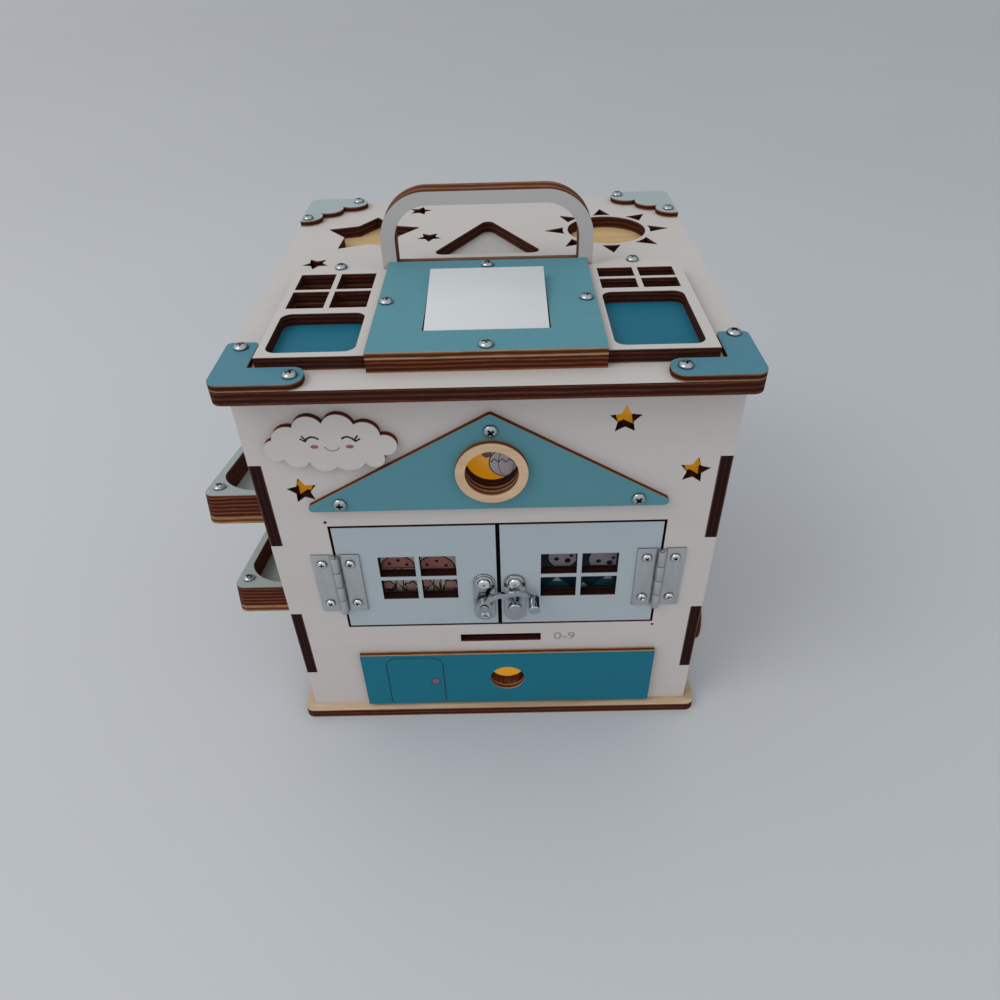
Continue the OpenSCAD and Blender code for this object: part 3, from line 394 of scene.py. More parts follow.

# Sheets behind the front wall
# An amber cast-acrylic sheet closes the round window and the stars, with a weak glow painted into it.
# Below it a plywood panel with a printed picture closes the doorway.


def plastic(name, code, rough, bump_size=0.0, bump=0.0, **sockets):
    """Moulded or cast plastic: even colour, with the faint unevenness of its surface."""
    material, tree, shader = start_material(name)
    place = add(tree, "ShaderNodeTexCoord").outputs["Object"]
    cloudy = add(tree, "ShaderNodeTexNoise", {"Vector": place, "Scale": 60, "Detail": 3})    # 17 mm
    shade = [c * 0.93 for c in colour(code)[:3]] + [1]
    drift = add(tree, "ShaderNodeMix", {"Factor": cloudy, "A": shade, "B": colour(code)}, data_type="RGBA")
    tree.links.new(shown(drift.outputs, 0), shader.inputs["Base Color"])
    shine = add(tree, "ShaderNodeMapRange", {0: cloudy, 1: 0.3, 2: 0.7, 3: rough * 0.85, 4: rough * 1.15})
    tree.links.new(shine.outputs[0], shader.inputs["Roughness"])
    if bump:
        texture = add(tree, "ShaderNodeTexNoise",
                      {"Vector": place, "Scale": 1 / (bump_size * MM), "Detail": 2})
        relief = add(tree, "ShaderNodeBump", {"Height": texture, "Strength": bump, "Distance": 0.05 * MM})
        tree.links.new(relief.outputs["Normal"], shader.inputs["Normal"])
    for name, value in sockets.items():
        shader.inputs[name.replace("_", " ")].default_value = value
    return material


# Painted light: a weak emission makes the amber glow, though no lamp lights it
finish(frame["nodes"]["amber_sheet"],
       plastic("amber_cast_acrylic", "#dd9a1c", 0.12, IOR=1.49, Transmission_Weight=0.2,
               Emission_Color=colour("#c98a18"), Emission_Strength=0.3))
# Painted shade: the spacer, seen through the gaps round the doors, is painted near black to stand for the
# shade there
GAP_SHADE_BLACK = "#17120f"
board("picture_spacer", FACING_FRONT, 3, GAP_SHADE_BLACK, reverse=GAP_SHADE_BLACK, char=1.0, lip=0)
PRINT_GROUND = "#bdb8b0"
board("picture_panel", FACING_FRONT, 3, PRINT_GROUND, grain=0.15)
PICTURE_FACE = front_face("picture_panel")


def petals(cx, cz, r, count, depth, turn=0.0, steps=72):
    """Outline of a round flower or leaf head whose edge goes in and out count times."""
    points = []
    for i in range(steps):
        a = math.tau * i / steps
        reach = r * (1 + depth * math.cos(count * a + turn))
        points.append((cx + reach * math.cos(a), cz + reach * math.sin(a)))
    return points


def leaf(cx, cz, length, width, turn):
    """Outline of a pointed leaf that starts at (cx, cz)."""
    half = [(length * i / 12, width / 2 * math.sin(math.pi * i / 12)) for i in range(13)]
    whole = half + [(px, -pz) for px, pz in half[-2:0:-1]]
    c, s = math.cos(math.radians(turn)), math.sin(math.radians(turn))
    return [(cx + px * c - pz * s, cz + px * s + pz * c) for px, pz in whole]


def hill(x0, x1, foot, height, wave, phase, steps=30):
    """Outline of rolling ground from x0 to x1."""
    top = [(x0 + (x1 - x0) * i / steps,
            foot + height + wave * math.sin(phase + 2.2 * math.pi * i / steps)) for i in range(steps + 1)]
    return [(x0, foot)] + top + [(x1, foot)]


def printed(name, outlines, code, layer):
    """One colour of the print; higher layers cover lower ones."""
    piece = on_front(name, outlines, PICTURE_FACE, PRINT_THICK * layer)
    dress(piece, ink(name + "_ink", code), "house")


PICTURE_LEFT, PICTURE_RIGHT, PICTURE_FOOT, PICTURE_HEAD = -78.5, 82.8, 74.6, 145
# Edges of the painted shade strip behind the gap between the doors
GAP_SHADE_LEFT, GAP_SHADE_RIGHT = -2.2, 6.6
OUTLINE = 0.7
OUTLINE_BROWN = "#2c1a17"
STEM_WIDTH, STEM_LEAN, STEM_FOOT = 3.2, 0.8, PICTURE_FOOT + 9
# Toadstools, buds, clouds and moons as (x, z, radius); peaks as (x, z, half width)
TOADSTOOLS = [(-66, 101, 9), (-50.5, 108.5, 8.5), (-30.5, 107, 9.5), (-12, 103, 8)]
BUDS = [(-57, 95.5, 2.7), (-44.6, 94, 3.1), (-36.5, 96.5, 2.6), (-23.5, 94.5, 3.4)]
SKY_STARS = [(14, 124), (24, 136), (37, 129), (48, 138), (66, 131), (78, 125), (73, 139)]
CLOUDS = [(-64, 131, 4.8), (-49, 134, 6), (-22, 132.5, 5.4)]
MOONS = [(35.5, 113.6, 7.4), (57.5, 111.5, 8.2)]
PEAKS = [(19, 94, 9), (33, 99.5, 11), (47, 95, 9), (60, 100.5, 12), (75, 96, 10)]


def cap(cx, cz, r, grow=0.0):
    """Outline of a toadstool's cap, flat below."""
    return arc(cx, cz - grow, r + grow, r * 0.95 + 2 * grow, 0, 180, 24)


def peak(cx, cz, half, drop):
    """Outline of a triangle with its tip at (cx, cz)."""
    return [(cx, cz), (cx + half, cz - drop), (cx - half, cz - drop)]


printed("picture_ground", [hill(PICTURE_LEFT, 5, PICTURE_FOOT, 17, 1.6, 0.4)], "#8b7d75", 1)
stems = [[(x, z), (x - STEM_LEAN, STEM_FOOT)] for x, z, _ in TOADSTOOLS]
printed("picture_stem_outlines", [stroke(stem, STEM_WIDTH + 1.2) for stem in stems], OUTLINE_BROWN, 2)
printed("picture_stems", [stroke(stem, STEM_WIDTH) for stem in stems], "#b9aea6", 3)
printed("picture_cap_outlines", [cap(x, z, r, OUTLINE) for x, z, r in TOADSTOOLS], OUTLINE_BROWN, 4)
printed("picture_caps", [cap(x, z, r) for x, z, r in TOADSTOOLS], "#a9706a", 5)
printed("picture_cap_spots", [circle(x + dx * r, z + dz * r, 0.95) for x, z, r in TOADSTOOLS
                              for dx, dz in ((-0.5, 0.35), (0.05, 0.6), (0.55, 0.25))], "#2a1512", 6)
printed("picture_bud_outlines", [petals(x, z, r + OUTLINE, 5, 0.16, x) for x, z, r in BUDS], OUTLINE_BROWN,
        4)
printed("picture_buds", [petals(x, z, r, 5, 0.16, x) for x, z, r in BUDS], "#b98a84", 5)
printed("picture_grass", [leaf(x, PICTURE_FOOT + 15, 8.5, 1.0, turn) for x in range(-74, 0, 9)
                          for turn in (62, 96, 124)], "#3f3a33", 4)
printed("picture_night", [hill(4, PICTURE_RIGHT, PICTURE_FOOT, 67.5, 0.5, 1.1)], "#122838", 1)
printed("picture_stars", [circle(x, z, 0.9) for x, z in SKY_STARS], "#c9c4b8", 2)
printed("picture_sky", [hill(PICTURE_LEFT, 2, 118, 24, 0.5, 0.4)], "#a9b4b4", 1)
printed("picture_clouds", [petals(x, z, r, 7, 0.12, x) for x, z, r in CLOUDS], "#c6c3bd", 2)
printed("picture_moon_outlines", [circle(x, z, r + OUTLINE) for x, z, r in MOONS], "#070a0e", 2)
printed("picture_moons", [circle(x, z, r) for x, z, r in MOONS], "#9b97a2", 3)
printed("picture_moon_spots", [circle(x + dx, z + dz, r) for x, z, _ in MOONS
                               for dx, dz, r in ((-3.2, -1.4, 1.3), (2.6, -2.6, 1.6), (4.4, 0.8, 0.9))],
        "#14141a", 4)
printed("picture_peaks", [peak(x, z, half, z - 88) for x, z, half in PEAKS], "#1d4a5d", 2)
printed("picture_snow", [peak(x, z, 2.6, 3.4) for x, z, _ in PEAKS], "#a3a3ab", 3)
printed("picture_foothills", [hill(4, PICTURE_RIGHT, PICTURE_FOOT, 15, 1.8, 3.0)], "#0e1d29", 4)
# Painted shade: a near-black strip printed down the picture's middle, behind the gap between the doors
printed("picture_divider",
        [[(GAP_SHADE_LEFT, PICTURE_FOOT), (GAP_SHADE_RIGHT, PICTURE_FOOT), (GAP_SHADE_RIGHT, PICTURE_HEAD),
          (GAP_SHADE_LEFT, PICTURE_HEAD)]], "#080606", 6)

AMBER_FACE = front_face("amber_sheet")
RING_LOW, RING_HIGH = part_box("window_ring")
WINDOW_X, WINDOW_Z = (RING_LOW.x + RING_HIGH.x) / 2 / MM, (RING_LOW.z + RING_HIGH.z) / 2 / MM


def behind_window(name, outlines, code, layer):
    """One colour of the print on the amber sheet, behind the round window."""
    piece = on_front(name, [[(WINDOW_X + px, WINDOW_Z + pz) for px, pz in outline] for outline in outlines],
                     AMBER_FACE, PRINT_THICK * layer)
    dress(piece, ink(name + "_ink", code), "house")


BALLOON_X, BALLOON_Z, BALLOON_R = 6.6, -2.6, 7.6
behind_window("window_balloon_outline", [circle(BALLOON_X, BALLOON_Z, BALLOON_R + 0.5)], "#241a1a", 1)
behind_window("window_balloon", [circle(BALLOON_X, BALLOON_Z, BALLOON_R)], "#cdc5cd", 2)
behind_window("window_balloon_seams",
              [stroke(arc(BALLOON_X, BALLOON_Z, rx, BALLOON_R - 0.3, -90, 90), 0.35) for rx in (-3.6, 3.6)],
              "#5d555c", 3)
behind_window("window_balloon_band",
              [stroke([(BALLOON_X + 1.8 * i, BALLOON_Z + (0.5, 2.3)[i % 2]) for i in range(-4, 5)], 0.55)],
              "#1d1618", 4)
behind_window("window_small_balloon", [circle(-2.2, 2.9, 2.4)], "#7a6065", 2)
# Painted highlights: two pale curved streaks on the amber sheet stand for reflections on it
behind_window("window_breeze", [stroke(arc(-9.5, -9.5, 9.5, rz, 18, 78), 0.5) for rz in (7.2, 10.4)],
              "#f3cf84", 1)

# Doors
# Two 6 mm boards, cut from the wall with the same laser and painted pale blue, each with four open panes.
# The hinges hold them flush in the doorway.

PALE_BLUE = "#a5b1b9"
for door in ("left_door", "right_door"):
    board(door, FACING_FRONT, 5, PALE_BLUE, reverse=PALE_BLUE, char=1.0, lip=0.1)

# Hinges
# Nickel-plated steel butt hinges, 40 x 24 mm, with rolled knuckles on a loose pin. The plating is satin
# and was rolled lengthwise, so reflections stretch along the hinge.

# Near-black colour of the painted shade in the corners of metal parts
CORNER_SHADE_COLOUR = "#1c1d1f"


def metal(name, code, rough, lines=(1, 1, 1), relief=0.0, line_width=0.25, corner_shade=0.8, reach=1.4):
    """Plated metal: fine rolled lines, line_width mm wide and stretched by the three factors, dull spots,
    and painted shade that darkens its corners as far as reach, in mm."""
    material, tree, shader = start_material(name)
    shader.inputs["Metallic"].default_value = 1
    place = add(tree, "ShaderNodeTexCoord").outputs["Object"]
    scale = [1 / (line_width * MM) * s for s in lines]
    drawn = add(tree, "ShaderNodeVectorMath", {0: place, 1: scale}, operation="MULTIPLY")
    fine = add(tree, "ShaderNodeTexNoise", {"Vector": drawn, "Scale": 1, "Detail": 3, "Roughness": 0.6})
    broad = add(tree, "ShaderNodeTexNoise", {"Vector": place, "Scale": 220, "Detail": 3})    # 4.5 mm
    both = add(tree, "ShaderNodeMath", {0: fine, 1: broad}, operation="ADD")
    dull = add(tree, "ShaderNodeMapRange", {0: both, 1: 0.7, 2: 1.3, 3: rough * 0.7, 4: rough * 1.4})
    tree.links.new(dull.outputs[0], shader.inputs["Roughness"])
    shade = [c * 0.86 for c in colour(code)[:3]] + [1]
    tint = add(tree, "ShaderNodeMix", {"Factor": both, "A": shade, "B": colour(code)}, data_type="RGBA")
    # Painted shade: ambient occlusion darkens the colour towards near black in corners, recesses and where
    # parts meet
    corner = add(tree, "ShaderNodeAmbientOcclusion", {"Distance": reach * MM}, samples=6)
    unshaded_share = add(tree, "ShaderNodeMapRange", {0: corner.outputs["AO"], 1: 0.5, 2: 0.95, 3: 1 - corner_shade, 4: 1.0})
    corner_shaded = add(tree, "ShaderNodeMix", {"Factor": unshaded_share, "A": colour(CORNER_SHADE_COLOUR), "B": tint}, data_type="RGBA")
    tree.links.new(shown(corner_shaded.outputs, 0), shader.inputs["Base Color"])
    if relief:
        bumps = add(tree, "ShaderNodeBump", {"Height": fine, "Strength": relief, "Distance": 0.02 * MM})
        tree.links.new(bumps.outputs["Normal"], shader.inputs["Normal"])
    return material


def merged(node):
    """A bmesh copy of a CAD node as one skin with flat faces whole again."""
    mesh = bmesh.new()
    mesh.from_mesh(frame["nodes"][node].data)
    bmesh.ops.remove_doubles(mesh, verts=mesh.verts, dist=0.001 * MM)
    bmesh.ops.dissolve_limit(mesh, angle_limit=math.radians(0.5), verts=mesh.verts, edges=mesh.edges)
    return mesh


def eased(node, material, radius, segments=2, degrees=40):
    """Stands in for a CAD node with its sharp edges rounded off by a small radius."""
    mesh = merged(node)
    sharp = [e for e in mesh.edges if len(e.link_faces) == 2 and e.calc_face_angle(0) > math.radians(degrees)]
    bmesh.ops.bevel(mesh, geom=sharp, offset=radius * MM, segments=segments, profile=0.5, affect="EDGES",
                    clamp_overlap=True)
    piece = make(node + "_eased", mesh, 50)
    dress(piece, material, frame["nodes"][node]["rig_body"])
    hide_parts(node)


SATIN_NICKEL = metal("satin_nickel_plate", "#bcbfc2", 0.36, lines=(1, 1, 0.03), relief=0.3)
BRIGHT_NICKEL = metal("bright_nickel_plate", "#d4d8da", 0.16)
for hinge_leaf in ("left_wall_leaf", "left_door_leaf", "right_wall_leaf", "right_door_leaf"):
    eased(hinge_leaf, SATIN_NICKEL, 0.22)
for hinge_pin in ("left_hinge_pin", "right_hinge_pin"):
    eased(hinge_pin, SATIN_NICKEL, 0.2)

# Latch
# Die-cast zinc with a bright chrome-like plating: two oblong plates, an arched arm that lifts on its
# pivot, and a mushroom stud that it drops behind.

BRIGHT_ZINC = metal("bright_zinc_casting", "#adb2b7", 0.1, line_width=1.5, corner_shade=0.95, reach=3)
for part, edge_r in (("latch_plate", 0.35), ("latch_pivot", 0.4), ("latch_arm", 0.75),
                     ("strike_plate", 0.4)):
    eased(part, BRIGHT_ZINC, edge_r, segments=4)

# Screws
# Zinc-plated pan-head screws with a cross recess hold the overlays, hinges and trays; two larger stepped
# buttons hold the latch's plates. Each kind is turned once, and Geometry Nodes set it at every seat.

BUTTON_OVER = 4                           # heads of a larger radius in mm are buttons
DIMPLE = 0.125                            # radius of a button's dimple, as a share of the button's
SHANK_R = 1.1


def pan_profile(r, h):
    """Half outline of a pan head, from its rim to its crown."""
    start, steps = math.radians(14), 10
    points = [(r * 0.97, 0), (r, h * 0.08), (r, h * 0.3)]
    for i in range(1, steps + 1):
        a = start + (math.pi / 2 - start) * i / steps
        points.append((r * (math.cos(a) / math.cos(start)) ** 0.8,
                       h * (0.3 + 0.7 * (math.sin(a) - math.sin(start)) / (1 - math.sin(start)))))
    return points


def button_profile(r, h):
    """Half outline of a button: a flat rim, a groove, a rounded cap and the dimple in its middle."""
    shares = [(0.98, 0), (1, 0.06), (0.97, 0.2), (0.82, 0.28), (0.76, 0.24), (0.74, 0.34), (0.72, 0.6),
              (0.67, 0.78), (0.57, 0.92), (0.44, 0.98), (0.3, 1.0), (0.17, 1.0), (0.13, 0.95), (0.11, 0.8),
              (0, 0.76)]
    return [(r * across, h * along) for across, along in shares]


def cross_cutter(name, r, h):
    """Tapered cross that cuts the driver's recess."""
    cutter = bmesh.new()
    rings = []
    for reach, half, z in ((r * 0.64, r * 0.19, h * 1.2), (r * 0.3, r * 0.1, h * 0.2)):
        corners = [(reach, -half), (reach, half), (half, half), (half, reach), (-half, reach), (-half, half),
                   (-reach, half), (-reach, -half), (-half, -half), (-half, -reach), (half, -reach),
                   (half, -half)]
        rings.append([cutter.verts.new((px * MM, py * MM, z * MM)) for px, py in corners])
    cutter.faces.new(rings[0])
    cutter.faces.new(reversed(rings[1]))
    for i in range(len(corners)):
        j = (i + 1) % len(corners)
        cutter.faces.new((rings[0][i], rings[1][i], rings[1][j], rings[0][j]))
    bmesh.ops.recalc_face_normals(cutter, faces=cutter.faces)
    for face in cutter.faces:
        face.material_index = 1
    return make(name, cutter)


def applied(piece):
    """A plain mesh of a piece as its modifiers shape it; the modifiers are then removed."""
    bpy.context.view_layer.update()
    result = bpy.data.meshes.new_from_object(piece.evaluated_get(bpy.context.evaluated_depsgraph_get()))
    piece.modifiers.clear()
    return result


def turned_screw(name, r, h, shank):
    """A screw of head radius r and height h, seated at z = 0 with its shank below, all in mm."""
    button = r > BUTTON_OVER
    mesh = bmesh.new()
    head_profile = button_profile(r, h) if button else pan_profile(r, h)
    points = [mesh.verts.new((px * MM, 0, pz * MM))
              for px, pz in [(0, -shank), (SHANK_R, -shank), (SHANK_R, 0)] + head_profile]
    edges = [mesh.edges.new(pair) for pair in zip(points, points[1:])]
    bmesh.ops.spin(mesh, geom=points + edges, cent=(0, 0, 0), axis=(0, 0, 1), angle=math.tau, steps=40)
    bmesh.ops.remove_doubles(mesh, verts=mesh.verts, dist=0.002 * MM)
    bmesh.ops.recalc_face_normals(mesh, faces=mesh.faces)
    for face in mesh.faces:
        middle = face.calc_center_median()
        if button and middle.xy.length < DIMPLE * r * MM and middle.z > 0:
            face.material_index = 1
    head = make(name, mesh)
    # the faces in slot 1 later take a near-black material: painted shade in the recess and the dimple
    finish(head, None, None)              # slot 1 marks the recess or the dimple
    if not button:
        recess = cross_cutter(name + "_recess", r, h)
        finish(recess, None, None)
        cut = head.modifiers.new("cross recess", "BOOLEAN")
        cut.object = recess
        cut.solver = "EXACT"
        head.data = applied(head)
        bpy.data.objects.remove(recess)
    mesh = bmesh.new()
    mesh.from_mesh(head.data)
    smooth_by_angle(mesh, 34)
    mesh.to_mesh(head.data)
    mesh.free()
    hollow = head.data.attributes.new("recess", "BOOLEAN", "FACE")
    hollow.data.foreach_set("value", [face.material_index == 1 for face in head.data.polygons])
    bpy.context.scene.collection.objects.unlink(head)
    return head


def screw_setter():
    """Geometry Nodes that put one screw on each point, along Lean and turned by the point's own angle."""
    tree = bpy.data.node_groups.new("set_screws", "GeometryNodeTree")
    for name, kind in (("Geometry", "Geometry"), ("Screw", "Object"), ("Lean", "Vector"),
                       ("Finish", "Material"), ("Recess", "Material")):
        tree.interface.new_socket(name, in_out="INPUT", socket_type="NodeSocket" + kind)
    tree.interface.new_socket("Geometry", in_out="OUTPUT", socket_type="NodeSocketGeometry")
    given = add(tree, "NodeGroupInput").outputs
    screw = add(tree, "GeometryNodeObjectInfo", {"Object": given["Screw"]})
    upright = add(tree, "FunctionNodeAlignRotationToVector", {"Vector": given["Lean"]}, axis="Z")
    twist = add(tree, "GeometryNodeInputNamedAttribute", {"Name": "twist"}, data_type="FLOAT")
    turn = add(tree, "FunctionNodeAxisAngleToRotation", {"Axis": (0, 0, 1), "Angle": twist})
    both = add(tree, "FunctionNodeRotateRotation", {"Rotation": upright, "Rotate By": turn},
               rotation_space="LOCAL")
    seated = add(tree, "GeometryNodeInstanceOnPoints",
                 {"Points": given["Geometry"], "Instance": screw.outputs["Geometry"], "Rotation": both})
    real = add(tree, "GeometryNodeRealizeInstances", {0: seated})
    dressed = add(tree, "GeometryNodeSetMaterial", {"Geometry": real, "Material": given["Finish"]})
    # painted shade: the recess and dimple faces get the near-black material
    hollow = add(tree, "GeometryNodeInputNamedAttribute", {"Name": "recess"}, data_type="BOOLEAN")
    whole = add(tree, "GeometryNodeSetMaterial",
                {"Geometry": dressed, "Selection": hollow, "Material": given["Recess"]})
    add(tree, "NodeGroupOutput", {0: whole})
    return tree


SCREW_SETTER = screw_setter()
SETTER_INPUTS = {socket.name: socket.identifier for socket in SCREW_SETTER.interface.items_tree
                 if socket.in_out == "INPUT"}


def solids(node):
    """The points of each separate solid of a CAD node."""
    mesh = merged(node)
    left, groups = set(mesh.verts), []
    while left:
        reached, found = [left.pop()], []
        while reached:
            vert = reached.pop()
            found.append(vert.co.copy())
            for edge in vert.link_edges:
                other = edge.other_vert(vert)
                if other in left:
                    left.remove(other)
                    reached.append(other)
        groups.append(found)
    mesh.free()
    return groups


def seats(node, lean):
    """Where each screw of a CAD node sits: (seat, head radius, head height, shank length). The seat is in
    metres and the rest in mm."""
    lean = Vector(lean).normalized()
    across = lean.orthogonal().normalized()
    along = lean.cross(across)
    found = []
    for points in solids(node):
        spans = [(min(p.dot(d) for p in points), max(p.dot(d) for p in points))
                 for d in (across, along, lean)]
        middle = across * sum(spans[0]) / 2 + along * sum(spans[1]) / 2
        radius = (spans[0][1] - spans[0][0]) / 2
        rim = [p for p in points if ((p - lean * p.dot(lean)) - middle).length > 0.97 * radius]
        base = min(p.dot(lean) for p in rim)
        foot, crown = spans[2]
        found.append((middle + lean * base, radius / MM, (crown - base) / MM, (base - foot) / MM))
    return found


def set_screws(node, lean, material, seed):
    """Replaces a CAD node's screws: one mesh for each head size, its recesses turned by chance."""
    kinds = {}
    for seat, r, h, shank in seats(node, lean):
        kinds.setdefault((round(r, 1), round(h, 1)), []).append((seat, r, h, shank))
    chance = random.Random(seed)
    for number, key in enumerate(sorted(kinds)):
        group = sorted(kinds[key], key=lambda screw: [round(part, 4) for part in screw[0]])
        _, r, h, _ = group[0]
        screw = turned_screw(f"screw_{r:.1f}", r, h, min(depth for _, _, _, depth in group))
        data = bpy.data.meshes.new(f"{node}_heads_{number + 1}")
        data.from_pydata([seat for seat, _, _, _ in group], [], [])
        data.attributes.new("twist", "FLOAT", "POINT").data.foreach_set(
            "value", [chance.uniform(0, math.tau) for _ in group])
        piece = placed(data.name, data)
        setter = piece.modifiers.new("set screws", "NODES")
        setter.node_group = SCREW_SETTER
        for name, value in (("Screw", screw), ("Lean", lean), ("Finish", material), ("Recess", RECESS_SHADE_BLACK)):
            setter[SETTER_INPUTS[name]] = value
        piece.data = applied(piece)
        bpy.data.objects.remove(screw)
        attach(piece, frame["nodes"][node]["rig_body"])
        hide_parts(node)


ZINC_PLATE = metal("zinc_plated_steel", "#a4acb1", 0.22, line_width=0.8, corner_shade=0.9)
# Painted shade: the cross recesses and the buttons' dimples get this near-black material to stand for the
# shade inside them
RECESS_SHADE_BLACK = metal("dull_zinc_in_recess", "#26282a", 0.55, line_width=0.5)
TRAY_FALL = math.radians(12)
UP, OUT_FRONT = (0, 0, 1), (0, -1, 0)
set_screws("lid_screws", UP, ZINC_PLATE, 3)
set_screws("front_screws", OUT_FRONT, ZINC_PLATE, 4)
set_screws("wall_leaf_screws", OUT_FRONT, BRIGHT_NICKEL, 5)
set_screws("left_door_screws", OUT_FRONT, BRIGHT_NICKEL, 6)
set_screws("right_door_screws", OUT_FRONT, BRIGHT_NICKEL, 7)
set_screws("tray_screws", (0, math.sin(TRAY_FALL), math.cos(TRAY_FALL)), ZINC_PLATE, 8)

# Drawer
# A painted 3 mm front over a box of bare birch. A door is engraved on the front with a pink spot for its
# knob, and the finger hole goes through both sheets and shows the amber floor inside.

DEEP_BLUE = "#146b81"
board("drawer_front", FACING_FRONT, 3, DEEP_BLUE, char=0.35, lip=1.0)
board("drawer_box", FACING_UP, 3, BIRCH, grain=0.35, char=0.5, upright=1)
# Painted light: the amber floor's weak emission makes it glow in the finger hole, though no lamp lights it
finish(frame["nodes"]["drawer_floor"],
       plastic("amber_floor_acrylic", "#e4b03a", 0.12, IOR=1.49, Transmission_Weight=0.2,
               Emission_Color=colour("#e0b03c"), Emission_Strength=0.42))
board("drawer_runners", FACING_FRONT, 3, BIRCH, grain=0.35, upright=1)

DRAWER_FACE = front_face("drawer_front")
ENGRAVED_WIDTH = 0.55
DOOR_LEFT, DOOR_RIGHT, DOOR_FOOT, DOOR_TOP, DOOR_CORNER = -63.0, -31.0, 10.5, 49.6, 6.5
KNOB = (-36.0, 28.8)
KNOB_R, KNOB_LINE_R = 2.1, 2.4
door_line = ([(DOOR_LEFT, DOOR_FOOT)]
             + arc(DOOR_LEFT + DOOR_CORNER, DOOR_TOP - DOOR_CORNER, DOOR_CORNER, DOOR_CORNER, 180, 90)
             + arc(DOOR_RIGHT - DOOR_CORNER, DOOR_TOP - DOOR_CORNER, DOOR_CORNER, DOOR_CORNER, 90, 0)
             + [(DOOR_RIGHT, DOOR_FOOT)])
knob_line = circle(*KNOB, KNOB_LINE_R) + [(KNOB[0] + KNOB_LINE_R, KNOB[1])]
engraved_door = on_front("engraved_door",
                         [stroke(door_line, ENGRAVED_WIDTH), stroke(knob_line, 0.7 * ENGRAVED_WIDTH)],
                         DRAWER_FACE + HAIR, 0.8 * INK_THICK)
dress(engraved_door, ink("engraved_line", "#12303c", 0.7), "drawer")
pink_spot = on_front("pink_spot", [circle(*KNOB, KNOB_R)], DRAWER_FACE + HAIR, INK_THICK)
dress(pink_spot, ink("pink_paint", "#93596f"), "drawer")

# Lid
# One 6 mm white board with a star, a triangle, a sun and small stars cut through it; thin sheets below
# close the three large shapes.

LID_WHITE = "#bab7b5"
SHADED_WHITE = "#a7a6a4"
LID_BIRCH = "#bfa478"
board("lid_board", FACING_UP, 5, LID_WHITE, char=0.8, lip=0)
board("star_floor", FACING_UP, 3, LID_BIRCH, grain=0.3)
board("sun_floor", FACING_UP, 3, LID_BIRCH, grain=0.3)
board("triangle_floor", FACING_UP, 3, SHADED_WHITE)

# Corner brackets
# Three-millimetre plywood screwed over the lid's corners: plain teal angles in front and pale clouds behind.

BRACKET_TEAL = "#4a7c8e"
MIST = "#9aa8ac"
for side in ("left", "right"):
    board(f"front_{side}_bracket", FACING_UP, 3, BRACKET_TEAL, lip=0.6)
    board(f"back_{side}_bracket", FACING_UP, 3, MIST, lip=0.6)

# Facades and their trays
# Two small house fronts of two sheets each lie on the lid, screwed down. Their windows are open; the trays
# below have a thin sheet as floor, painted blue.

LINER_BLUE = "#18647b"
for side in ("left", "right"):
    board(f"{side}_facade", FACING_UP, 6, LID_WHITE, char=0.88)
    board(f"{side}_tray_liner", FACING_UP, 1, LINER_BLUE, reverse=LINER_BLUE, gloss=0.42, grain=0.02)

# Switch block
# Three 3 mm sheets, screwed to the lid, carry a household rocker switch. Its white key and its body are
# moulded plastic, the key glossy and the body matt.

TEAL = "#538895"
board("switch_spacer", FACING_UP, 6, BIRCH, grain=BARE_GRAIN, char=0.55)
board("switch_plate", FACING_UP, 3, TEAL, char=0.4, lip=1.0)
eased("rocker_key", plastic("moulded_key_plastic", "#c5cacd", 0.3, 0.8, 0.05, IOR=1.5), 0.5,
      segments=3)
eased("switch_body", plastic("moulded_switch_plastic", "#b9b9b5", 0.5, 0.3, 0.2), 0.3)

# Carrying handle
# A closed frame of four 3 mm sheets that stands behind the block, its faces painted light grey. Its edge
# shows one brown band for each pair of sheets and is charred less than the walls.

HANDLE_GREY = "#b5b3b2"
board("carry_handle", FACING_FRONT, 4, HANDLE_GREY, reverse=HANDLE_GREY, char=0.4, lip=0)

# Front overlays
# Three-millimetre sheets on the wall: the teal pediment, screwed on, with the bare birch ring round its
# window, and the white cloud, whose sleeping face is printed.

PALE_BIRCH = "#d0b495"
board("pediment", FACING_FRONT, 3, TEAL, char=0.45, lip=0.6)
board("window_ring", FACING_FRONT, 3, PALE_BIRCH, grain=BARE_GRAIN * 0.5, char=0.35)
board("cloud_plaque", FACING_FRONT, 3, WHITE, char=0.5)

CLOUD_FACE = front_face("cloud_plaque")
EYE_LINE, MOUTH_LINE = 0.95, 0.45
LASH_LINE = 0.85 * EYE_LINE
EYES = [[(-80.9, 197.0), (-79.4, 198.9), (-77.6, 199.6), (-75.9, 199.2), (-74.5, 198.2)],
        [(-64.5, 198.2), (-63.2, 199.1), (-61.6, 199.3), (-59.9, 198.4), (-58.3, 196.7)]]
LASHES = [[(-81.8, 200.2), (-80.4, 198.1)], [(-82.7, 198.8), (-80.8, 197.3)],
          [(-57.2, 199.8), (-58.8, 197.8)], [(-56.4, 198.1), (-58.8, 196.7)]]
MOUTH = [(-72.6, 194.2), (-71.5, 192.6), (-69.6, 191.9), (-67.6, 192.2), (-66.0, 193.7)]
CHEEKS = [(-77.0, 194.3), (-61.4, 194.1)]
CHEEK_W, CHEEK_H = 1.8, 1.0
eyes = [stroke(eye, EYE_LINE) for eye in EYES] + [stroke(lash, LASH_LINE) for lash in LASHES]
mouth = [stroke(MOUTH, MOUTH_LINE)]
cheeks = [arc(x, z, CHEEK_W, CHEEK_H, 0, 345, 23) for x, z in CHEEKS]
